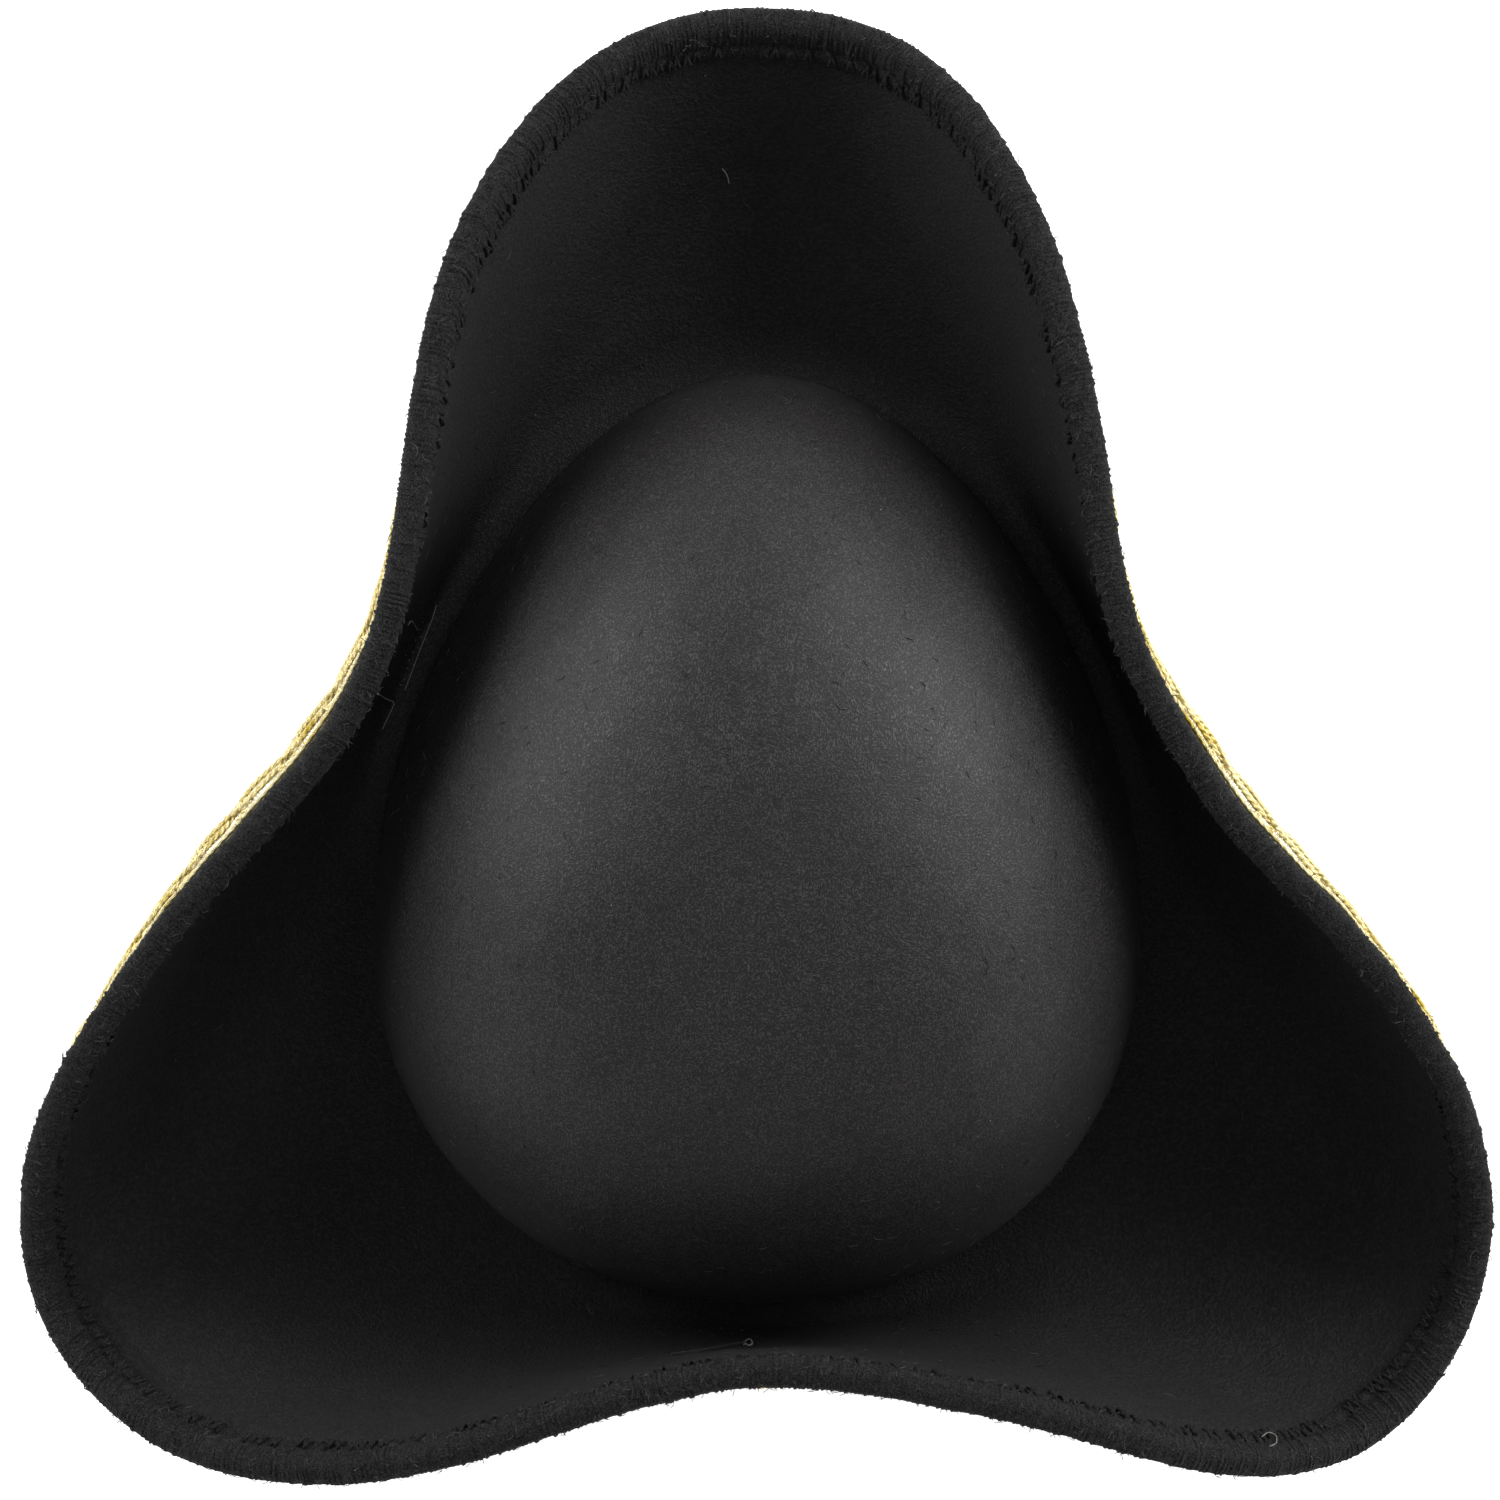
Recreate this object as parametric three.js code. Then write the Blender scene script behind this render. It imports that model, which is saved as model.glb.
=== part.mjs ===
// Tricorn hat of black felt: crown and brim in one piece, brim turned up in three flaps,
// an overlocked woollen edge and a metallic braid with a raised chain under it.
// Millimetres, +Z up, front point towards -Y, standing on the ring where the brim leaves the crown.

import * as THREE from 'three';

// Crown sizes

const crownLength = 202;        // outside, front to back, at the foot
const crownWidth = 167;         // outside, side to side, at its widest
const crownHeight = 105;        // from the surface it stands on to the outside of the top
const crownNarrowing = 0.21;    // share by which the egg of the crown is narrower in front
const crownFullness = 2.4;      // 2 gives a plain dome, more gives a fuller shoulder

// Felt sizes

const feltThickness = 2.5;
const breakRadius = 3;          // bend from the crown's wall into the brim, on the felt's middle
const restingRing = 4;          // flat width of brim that the hat stands on
const brimWidth = 94;           // felt from the resting ring to the cut edge, at the widest fold
const footPull = 0.08;          // share of the brim's width that stays low beyond the ring
const footSpread = 0.35;        // share of the reach that stays low as well
const edgePull = 0.36;          // share of the brim's width that follows the lean of the edge

// Edge and braid sizes

const bindingThickness = 1.5;
const bindingInnerArm = 9;      // how far the overlocked edge covers the inside of the brim
const bindingOuterArm = 3;      // and the outside
const fitGap = 0.4;             // clearance between pieces that are sewn together
const braidWidth = 14;
const braidTapeThickness = 0.9;
const braidChainThickness = 1.7; // where the plaited chain stands up from the tape
const braidScallop = 1.2;       // rise of each scallop of the braid's two edges
const braidEyePitch = 16.5;     // the chain parts round one eye in each repeat
const braidEyeWidth = 6;        // between the crests of the chain

// Fineness of the faces

const crownRows = 5;
const bendRows = 2;
const brimRows = 4;             // between the resting ring and the braid
const profileSteps = 60;        // chords that a section of the brim is measured by
const slopePasses = 40;         // passes in which the folds' slopes settle
const risePasses = 30;          // halvings in which the height of the edge is found
const nudge = 0.01;             // degrees to either side from which the run of the felt is taken

// Folds of the brim, a row for each section from the front point (0) to the back (180).
// width: felt from ring to edge, as a share of brimWidth.
// reachA, reachB: how far the edge stands out from the ring in plan, as shares of brimWidth,
// on the +X side and on the -X side.
// leanA, leanB: degrees from level at the edge, over 90 leans in over the crown.

const foldColumns = ['turn', 'width', 'reachA', 'leanA', 'reachB', 'leanB'];
const foldRows = [
  [0, 0.88, 0.715, 50, 0.715, 50],
  [14, 0.88, 0.685, 54, 0.695, 54],
  [30, 0.88, 0.535, 62, 0.52, 62],
  [42, 0.87, 0.335, 72, 0.30, 72],
  [54, 0.86, 0.135, 84, 0.12, 82],
  [68, 0.86, 0.02, 103, 0.01, 94],
  [80, 0.86, 0.05, 118, 0.04, 112],
  [92, 0.88, 0.225, 122, 0.195, 122],
  [104, 0.93, 0.55, 96, 0.56, 98],
  [115, 0.98, 0.825, 66, 0.82, 66],
  [126, 1.00, 0.86, 54, 0.87, 54],
  [137, 0.97, 0.72, 58, 0.735, 58],
  [148, 0.92, 0.475, 70, 0.385, 70],
  [162, 0.88, 0.175, 82, 0.12, 82],
  [180, 0.86, 0.01, 88, 0.01, 88],
];

// Numbers worked out from the sizes

const halfFelt = feltThickness / 2;
const ringHeight = halfFelt;
const degrees = Math.PI / 180;
const sectionsPerEye = 2;       // at a joint of the chain and in the middle of the eye after it

// Smooth closed curve through values at given turns, in degrees

function closedSpline(turns, values) {
  const count = turns.length;
  const gap = turns.map((turn, i) => (i + 1 < count ? turns[i + 1] - turn : turns[0] + 360 - turn));
  const rate = values.map((value, i) => (values[(i + 1) % count] - value) / gap[i]);
  const slope = rate.map((value) => value);
  for (let pass = 0; pass < slopePasses; pass++) {
    for (let i = 0; i < count; i++) {
      const before = (i + count - 1) % count;
      const after = (i + 1) % count;
      const pull = 3 * (gap[i] * rate[before] + gap[before] * rate[i]);
      const sides = gap[i] * slope[before] + gap[before] * slope[after];
      slope[i] = (pull - sides) / (2 * (gap[before] + gap[i]));
    }
  }
  return (turn) => {
    const around = ((turn % 360) + 360) % 360;
    let i = 0;
    while (i + 1 < count && turns[i + 1] <= around) i++;
    const after = (i + 1) % count;
    const u = (around - turns[i]) / gap[i];
    const v = 1 - u;
    return v * v * (1 + 2 * u) * values[i] + u * u * (1 + 2 * v) * values[after]
      + u * v * gap[i] * (v * slope[i] - u * slope[after]);
  };
}

// The folds' table as closed curves: the -X side runs on from the back to the front

function foldCurves() {
  const column = (name) => foldColumns.indexOf(name);
  const station = (row, turn, side) => ({
    turn,
    width: row[column('width')],
    reach: row[column(`reach${side}`)],
    lean: row[column(`lean${side}`)],
  });
  const sideA = foldRows.map((row) => station(row, row[column('turn')], 'A'));
  const sideB = foldRows.slice(1, -1).reverse().map((row) => station(row, 360 - row[column('turn')], 'B'));
  const around = [...sideA, ...sideB];
  const turns = around.map((row) => row.turn);
  const curve = (name) => closedSpline(turns, around.map((row) => row[name]));
  return { width: curve('width'), reach: curve('reach'), lean: curve('lean') };
}

// Egg-shaped foot of the crown, on the felt's middle

function eggPeak() {
  let peak = 0;
  for (let turn = 0; turn <= 180; turn += 1) {
    const angle = turn * degrees;
    peak = Math.max(peak, Math.sin(angle) * (1 - crownNarrowing * Math.cos(angle)));
  }
  return peak;
}

const eggHalfWidth = (crownWidth - feltThickness) / 2 / eggPeak();
const eggHalfLength = (crownLength - feltThickness) / 2;

function crownFoot(turn) {
  const angle = turn * degrees;
  const across = eggHalfWidth * Math.sin(angle) * (1 - crownNarrowing * Math.cos(angle));
  return new THREE.Vector2(across, -eggHalfLength * Math.cos(angle));
}

// Profile of the brim in one section: a cubic curve from the ring to the cut edge, whose height
// is the one that uses up the felt's width

const folds = foldCurves();

function brimProfile(turn) {
  const felt = brimWidth * folds.width(turn);
  const reach = brimWidth * folds.reach(turn);
  const lean = folds.lean(turn) * degrees;
  const foot = brimWidth * footPull + Math.max(reach, 0) * footSpread;
  const pull = felt * edgePull;
  const curveTo = (rise) => {
    const curve = new THREE.CubicBezierCurve(
      new THREE.Vector2(0, 0),
      new THREE.Vector2(foot, 0),
      new THREE.Vector2(reach - pull * Math.cos(lean), rise - pull * Math.sin(lean)),
      new THREE.Vector2(reach, rise),
    );
    curve.arcLengthDivisions = profileSteps;
    return curve;
  };
  let low = 0;
  let high = felt;
  for (let pass = 0; pass < risePasses; pass++) {
    const middle = (low + high) / 2;
    if (curveTo(middle).getLength() < felt) low = middle;
    else high = middle;
  }
  return { curve: curveTo((low + high) / 2), felt };
}

// One section of the felt's middle, as rows of plan distance from the foot, height and slope.
// share scales the crown's foot, out is added to it.

const braidTop = bindingOuterArm + fitGap;
const braidMiddle = braidTop + braidWidth / 2;
const braidFoot = braidTop + braidWidth;
const edgeDistances = [braidFoot, braidMiddle, braidTop, 0];

function crownSection() {
  const wallHeight = ringHeight + breakRadius;
  const topHeight = crownHeight - halfFelt;
  const power = 2 / crownFullness;
  const rows = [];
  for (let i = 1; i <= crownRows; i++) {
    const angle = (1 - i / crownRows) * Math.PI / 2;
    const share = Math.cos(angle) ** power;
    const height = wallHeight + (topHeight - wallHeight) * Math.sin(angle) ** power;
    const fall = i === crownRows ? new THREE.Vector2(0, -1) : new THREE.Vector2(
      power * Math.cos(angle) ** (power - 1) * Math.sin(angle),
      -(topHeight - wallHeight) / eggHalfLength * power * Math.sin(angle) ** (power - 1) * Math.cos(angle),
    );
    rows.push({ share, out: 0, height, slope: fall.normalize() });
  }
  return rows;
}

function brimRow({ curve, felt }, length) {
  const point = curve.getPointAt(length / felt);
  return {
    share: 1,
    out: breakRadius + restingRing + point.x,
    height: ringHeight + point.y,
    slope: curve.getTangentAt(length / felt),
  };
}

function brimSection(turn) {
  const rows = [];
  for (let i = 1; i <= bendRows; i++) {
    const angle = i / bendRows * Math.PI / 2;
    rows.push({
      share: 1,
      out: breakRadius * (1 - Math.cos(angle)),
      height: ringHeight + breakRadius * (1 - Math.sin(angle)),
      slope: new THREE.Vector2(Math.sin(angle), -Math.cos(angle)),
    });
  }
  const profile = brimProfile(turn);
  for (let i = 0; i < brimRows; i++) rows.push(brimRow(profile, i / brimRows * (profile.felt - braidFoot)));
  for (const distance of edgeDistances) rows.push(brimRow(profile, profile.felt - distance));
  return rows;
}

// Place of a row in the hat, and the felt's outward direction there

function place(turn, row) {
  const foot = crownFoot(turn);
  const away = foot.clone().normalize();
  const plan = foot.multiplyScalar(row.share).addScaledVector(away, row.out);
  return new THREE.Vector3(plan.x, plan.y, row.height);
}

// Sections at equal lengths along the middle of the braid, a whole number to each of its eyes

function evenTurns() {
  const alongBraid = (turn) => {
    const profile = brimProfile(turn);
    return place(turn, brimRow(profile, profile.felt - braidMiddle));
  };
  const lengths = [0];
  let last = alongBraid(0);
  for (let turn = 1; turn <= 360; turn++) {
    const next = alongBraid(turn);
    lengths.push(lengths[turn - 1] + next.distanceTo(last));
    last = next;
  }
  const eyes = Math.round(lengths[360] / braidEyePitch);
  const turns = [];
  let turn = 0;
  for (let i = 0; i < eyes * sectionsPerEye; i++) {
    const target = lengths[360] * i / (eyes * sectionsPerEye);
    while (lengths[turn + 1] <= target) turn++;
    turns.push(turn + (target - lengths[turn]) / (lengths[turn + 1] - lengths[turn]));
  }
  return turns;
}

const crownRowList = crownSection();
const turns = evenTurns();
const sections = turns.length;
const columns = turns.map((turn) => {
  const here = [...crownRowList, ...brimSection(turn)];
  const before = [...crownRowList, ...brimSection(turn - nudge)];
  const after = [...crownRowList, ...brimSection(turn + nudge)];
  const away = crownFoot(turn).normalize();
  return here.map((row, j) => {
    const along = place(turn + nudge, after[j]).sub(place(turn - nudge, before[j]));
    const down = new THREE.Vector3(away.x * row.slope.x, away.y * row.slope.x, row.slope.y);
    const normal = new THREE.Vector3().crossVectors(down, along).normalize();
    return { point: place(turn, row), down, normal };
  });
});

const rowCount = columns[0].length;
const firstEdgeRow = rowCount - edgeDistances.length;

// Point off a face of the felt: sections along the edge, distance from the cut edge measured back
// along the felt, and height off the felt's middle, positive on the side of the crown's outside

function offFelt(along, distance, height) {
  const i = Math.floor(along);
  const at = (k, j) => {
    const row = columns[k % sections][j];
    return row.point.clone().addScaledVector(row.normal, height);
  };
  const v = along - i;
  if (distance <= 0) {
    const end = rowCount - 1;
    const past = (k) => at(k, end).addScaledVector(columns[k % sections][end].down, -distance);
    return v > 0 ? past(i).lerp(past(i + 1), v) : past(i);
  }
  let row = 0;
  while (row < edgeDistances.length - 2 && edgeDistances[row + 1] >= distance) row++;
  const u = (edgeDistances[row] - distance) / (edgeDistances[row] - edgeDistances[row + 1]);
  const j = firstEdgeRow + row;
  const corner = at(i, j);
  const across = at(i + 1, j + 1);
  const side = v > u ? at(i + 1, j) : at(i, j + 1);
  const [first, second] = v > u ? [v, u] : [u, v];
  corner.multiplyScalar(1 - first);
  return corner.addScaledVector(side, first - second).addScaledVector(across, second);
}

// Closed mesh from a list of points and a list of faces with three or four corners

function solid(points, faces) {
  const geometry = new THREE.BufferGeometry();
  const index = [];
  for (const [a, b, c, d] of faces) {
    index.push(a, b, c);
    if (d !== undefined) index.push(a, c, d);
  }
  geometry.setAttribute('position', new THREE.Float32BufferAttribute(points.flatMap((p) => p.toArray()), 3));
  geometry.setIndex(index);
  geometry.computeVertexNormals();
  return geometry;
}

// Crown and brim: an upper and a lower skin that meet along the cut edge

function feltBody() {
  const points = [];
  const faces = [];
  const skins = [halfFelt, -halfFelt].map((height) => {
    const pole = points.length;
    points.push(new THREE.Vector3(0, 0, crownHeight - halfFelt + height));
    for (const rows of columns) {
      for (const row of rows) points.push(row.point.clone().addScaledVector(row.normal, height));
    }
    return (i, j) => pole + 1 + (i % sections) * rowCount + j;
  });
  const [upper, lower] = skins;
  const upperPole = upper(0, 0) - 1;
  const lowerPole = lower(0, 0) - 1;
  for (let i = 0; i < sections; i++) {
    faces.push([upperPole, upper(i, 0), upper(i + 1, 0)]);
    faces.push([lowerPole, lower(i + 1, 0), lower(i, 0)]);
    for (let j = 0; j + 1 < rowCount; j++) {
      faces.push([upper(i, j), upper(i, j + 1), upper(i + 1, j + 1), upper(i + 1, j)]);
      faces.push([lower(i, j), lower(i + 1, j), lower(i + 1, j + 1), lower(i, j + 1)]);
    }
    const edge = rowCount - 1;
    faces.push([upper(i, edge), lower(i, edge), lower(i + 1, edge), upper(i + 1, edge)]);
  }
  return solid(points, faces);
}

// Overlocked edge: a U round the cut edge, carried round the whole brim

function edgeBinding() {
  const inner = halfFelt + fitGap;
  const outer = inner + bindingThickness;
  const nose = fitGap + bindingThickness;
  const outline = [
    [bindingInnerArm, inner], [bindingInnerArm, outer], [0, outer], [-nose, 0],
    [0, -outer], [bindingOuterArm, -outer], [bindingOuterArm, -inner], [-fitGap, -inner], [-fitGap, inner],
    [braidTop, inner],
  ];
  const points = [];
  const faces = [];
  for (let i = 0; i < sections; i++) {
    for (const [distance, height] of outline) points.push(offFelt(i, distance, height));
  }
  const count = outline.length;
  const at = (i, k) => (i % sections) * count + (k % count);
  for (let i = 0; i < sections; i++) {
    for (let k = 0; k < count; k++) {
      const corners = [at(i, k), at(i, k + 1), at(i + 1, k + 1), at(i + 1, k)];
      const backFromEdge = outline[(k + 1) % count][0] > outline[k][0];
      faces.push(backFromEdge ? [...corners.slice(1), corners[0]] : corners);
    }
  }
  return solid(points, faces);
}

// Braid: a closed tape with scalloped edges, on which a chain rises that parts round each eye.
// Rows run from the foot of the braid towards the edge of the brim.

function goldBraid() {
  const near = -(halfFelt + fitGap);
  const tape = near - braidTapeThickness;
  const chain = near - braidChainThickness;
  const half = braidWidth / 2;
  const narrow = half - braidScallop;
  const crest = braidEyeWidth / 2;
  const faceAtJoint = [[narrow, tape], [crest, tape], [0, chain], [-crest, tape], [-narrow, tape]];
  const faceAtEye = [[half, tape], [crest, chain], [0, tape], [-crest, chain], [-half, tape]];
  const backAtJoint = [[narrow, near], [0, near], [-narrow, near]];
  const backAtEye = [[half, near], [0, near], [-half, near]];
  const isEye = (i) => i % sectionsPerEye === 1;
  const points = [];
  for (let i = 0; i < sections; i++) {
    const rows = isEye(i) ? [...faceAtEye, ...backAtEye] : [...faceAtJoint, ...backAtJoint];
    for (const [across, height] of rows) points.push(offFelt(i, braidMiddle + across, height));
  }
  const faceRows = faceAtJoint.length;
  const count = faceRows + backAtJoint.length;
  const face = (i, k) => (i % sections) * count + k;
  const back = (i, k) => (i % sections) * count + faceRows + k;
  const [footCrest, edgeCrest] = [1, 2];
  const faces = [];
  for (let i = 0; i < sections; i++) {
    const next = i + 1;
    for (let k = 0; k + 1 < faceRows; k++) {
      const corners = [face(i, k), face(next, k), face(next, k + 1), face(i, k + 1)];
      const otherDiagonal = k === (isEye(i) ? edgeCrest : footCrest);
      faces.push(otherDiagonal ? [...corners.slice(1), corners[0]] : corners);
    }
    for (let k = 0; k + 1 < backAtJoint.length; k++) {
      faces.push([back(i, k), back(i, k + 1), back(next, k + 1), back(next, k)]);
    }
    const [lastFace, lastBack] = [faceRows - 1, backAtJoint.length - 1];
    faces.push([face(next, 0), face(i, 0), back(i, 0), back(next, 0)]);
    faces.push([face(i, lastFace), face(next, lastFace), back(next, lastBack), back(i, lastBack)]);
  }
  return solid(points, faces);
}

// Colours and finish, one material for each piece

const felt = new THREE.MeshStandardMaterial({ color: 0x17151a, roughness: 0.95, metalness: 0 });
const wool = new THREE.MeshStandardMaterial({ color: 0x1d1f1f, roughness: 1, metalness: 0 });
const gilt = new THREE.MeshStandardMaterial({ color: 0xc9b26a, roughness: 0.35, metalness: 0.85 });

function piece(name, geometry, material) {
  const mesh = new THREE.Mesh(geometry, material);
  mesh.name = name;
  return mesh;
}

const hat = new THREE.Group();
hat.add(
  piece('felt_body', feltBody(), felt),
  piece('edge_binding', edgeBinding(), wool),
  piece('gold_braid', goldBraid(), gilt),
);

// The origin is under the middle of the hat's plan

const middle = new THREE.Box3().setFromObject(hat).getCenter(new THREE.Vector3());
hat.position.set(-middle.x, -middle.y, 0);

export default hat;
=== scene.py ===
import math

import bpy
import numpy as np
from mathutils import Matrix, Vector
from mathutils.bvhtree import BVHTree


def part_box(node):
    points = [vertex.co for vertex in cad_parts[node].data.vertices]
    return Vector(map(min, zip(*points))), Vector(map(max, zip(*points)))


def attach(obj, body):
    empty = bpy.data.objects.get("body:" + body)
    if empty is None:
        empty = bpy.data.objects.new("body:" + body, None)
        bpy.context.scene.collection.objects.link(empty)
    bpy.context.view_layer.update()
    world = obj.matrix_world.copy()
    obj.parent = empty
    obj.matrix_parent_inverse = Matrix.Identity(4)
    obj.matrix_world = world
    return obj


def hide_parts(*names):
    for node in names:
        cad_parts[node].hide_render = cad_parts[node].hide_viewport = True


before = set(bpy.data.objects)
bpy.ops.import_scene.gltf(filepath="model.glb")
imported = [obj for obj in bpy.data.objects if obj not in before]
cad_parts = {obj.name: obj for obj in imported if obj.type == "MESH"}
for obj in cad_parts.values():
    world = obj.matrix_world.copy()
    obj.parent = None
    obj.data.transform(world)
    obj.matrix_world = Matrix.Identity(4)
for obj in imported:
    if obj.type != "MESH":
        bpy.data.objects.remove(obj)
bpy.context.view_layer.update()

bl_info = {
    "name": "Tricorn hat",
    "version": (1, 0, 0),
    "blender": (4, 5, 0),
    "location": "View3D > Sidebar > Tricorn",
    "description": "Black felt tricorn with an overlocked woollen edge and a gold braid",
    "category": "Object",
}

MILLIMETRE = 0.001

# Shape of the felt's middle, as in the hat's solids: lengths in millimetres, angles in degrees.

CROWN_NARROWING = 0.21
CROWN_FULLNESS = 2.4
BREAK_RADIUS = 3.0
RESTING_RING = 4.0
FOOT_PULL = 0.08
FOOT_SPREAD = 0.35
EDGE_PULL = 0.36
SLOPE_PASSES = 40
RISE_PASSES = 30
PROFILE_STEPS = 60

# How far the braid swells in the middle of each eye, as a share of its tape's lift.
EYE_SWELL = 0.9

# Folds of the brim from the front point (0) to the back (180): felt from ring to edge and reach of
# the edge as shares of the brim's width, lean of the edge in degrees, on the +X and the -X side.
FOLD_COLUMNS = ("turn", "width", "reach_a", "lean_a", "reach_b", "lean_b")
FOLD_ROWS = (
    (0, 0.88, 0.715, 50, 0.715, 50),
    (14, 0.88, 0.685, 54, 0.695, 54),
    (30, 0.88, 0.535, 62, 0.52, 62),
    (42, 0.87, 0.335, 72, 0.30, 72),
    (54, 0.86, 0.135, 84, 0.12, 82),
    (68, 0.86, 0.02, 103, 0.01, 94),
    (80, 0.86, 0.05, 118, 0.04, 112),
    (92, 0.88, 0.225, 122, 0.195, 122),
    (104, 0.93, 0.55, 96, 0.56, 98),
    (115, 0.98, 0.825, 66, 0.82, 66),
    (126, 1.00, 0.86, 54, 0.87, 54),
    (137, 0.97, 0.72, 58, 0.735, 58),
    (148, 0.92, 0.475, 70, 0.385, 70),
    (162, 0.88, 0.175, 82, 0.12, 82),
    (180, 0.86, 0.01, 88, 0.01, 88),
)


# Soft waves of the felt: wavelength in millimetres and seed.
LONG_WAVE = (62.0, 3)
SHORT_WAVE = (24.0, 4)
FINE_WAVE = (8.5, 5)

# Turns between which a ridge lies by the crown and a crease by the edge, with their shoulders, in degrees.
RIDGE_TURNS = (13, 35, 4)
CREASE_TURNS = (116, 130, 2)


def closed_spline(turns, values):
    """Smooth closed curve through values at given turns, in degrees."""
    turns = np.asarray(turns, float)
    values = np.asarray(values, float)
    count = len(turns)
    gap = np.diff(np.append(turns, turns[0] + 360.0))
    rate = (np.roll(values, -1) - values) / gap
    slope = rate.copy()
    for _ in range(SLOPE_PASSES):
        for i in range(count):
            after = (i + 1) % count
            pull = 3 * (gap[i] * rate[i - 1] + gap[i - 1] * rate[i])
            sides = gap[i] * slope[i - 1] + gap[i - 1] * slope[after]
            slope[i] = (pull - sides) / (2 * (gap[i - 1] + gap[i]))

    def curve(turn):
        around = np.mod(turn, 360.0)
        i = np.searchsorted(turns, around, side="right") - 1
        after = (i + 1) % count
        u = (around - turns[i]) / gap[i]
        v = 1 - u
        ends = v * v * (1 + 2 * u) * values[i] + u * u * (1 + 2 * v) * values[after]
        return ends + u * v * gap[i] * (v * slope[i] - u * slope[after])

    return curve


def fold_curves():
    """The folds' table as closed curves of the turn."""
    rows = [dict(zip(FOLD_COLUMNS, row)) for row in FOLD_ROWS]
    side_a = [(row["turn"], row["width"], row["reach_a"], row["lean_a"]) for row in rows]
    side_b = [(360 - row["turn"], row["width"], row["reach_b"], row["lean_b"]) for row in rows[1:-1]]
    around = np.array(side_a + side_b[::-1], float).T
    return [closed_spline(around[0], column) for column in around[1:]]


def bezier(corners, t):
    """Points and directions of cubic curves: corners (n, 4, 2), t (n, m) or (m,)."""
    v = 1 - t
    weights = np.stack([v**3, 3 * v * v * t, 3 * v * t * t, t**3], -1)
    steps = np.stack([-v * v, v * v - 2 * v * t, 2 * v * t - t * t, t * t], -1) * 3
    rule = "nmk,nkd->nmd" if t.ndim == 2 else "mk,nkd->nmd"
    return np.einsum(rule, weights, corners), np.einsum(rule, steps, corners)


def soft_waves(points, wavelength, seed, waves=28):
    """Smooth random height over points in space, about -1 to 1."""
    rng = np.random.default_rng(seed)
    ways = rng.normal(size=(waves, 3))
    ways /= np.linalg.norm(ways, axis=1, keepdims=True)
    ways *= (2 * math.pi / wavelength) * rng.uniform(0.65, 1.5, (waves, 1))
    phases = rng.uniform(0, 2 * math.pi, waves)
    return np.sin(points @ ways.T + phases).sum(-1) / math.sqrt(2 * waves)


def bell(value, middle, spread):
    """1 at the middle, falling smoothly to 0 on both sides."""
    return np.exp(-(((value - middle) / spread) ** 2))


def gate(value, low, high, soft):
    """1 between low and high, with soft shoulders."""
    return 0.5 * (np.tanh((value - low) / soft) - np.tanh((value - high) / soft))


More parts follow.
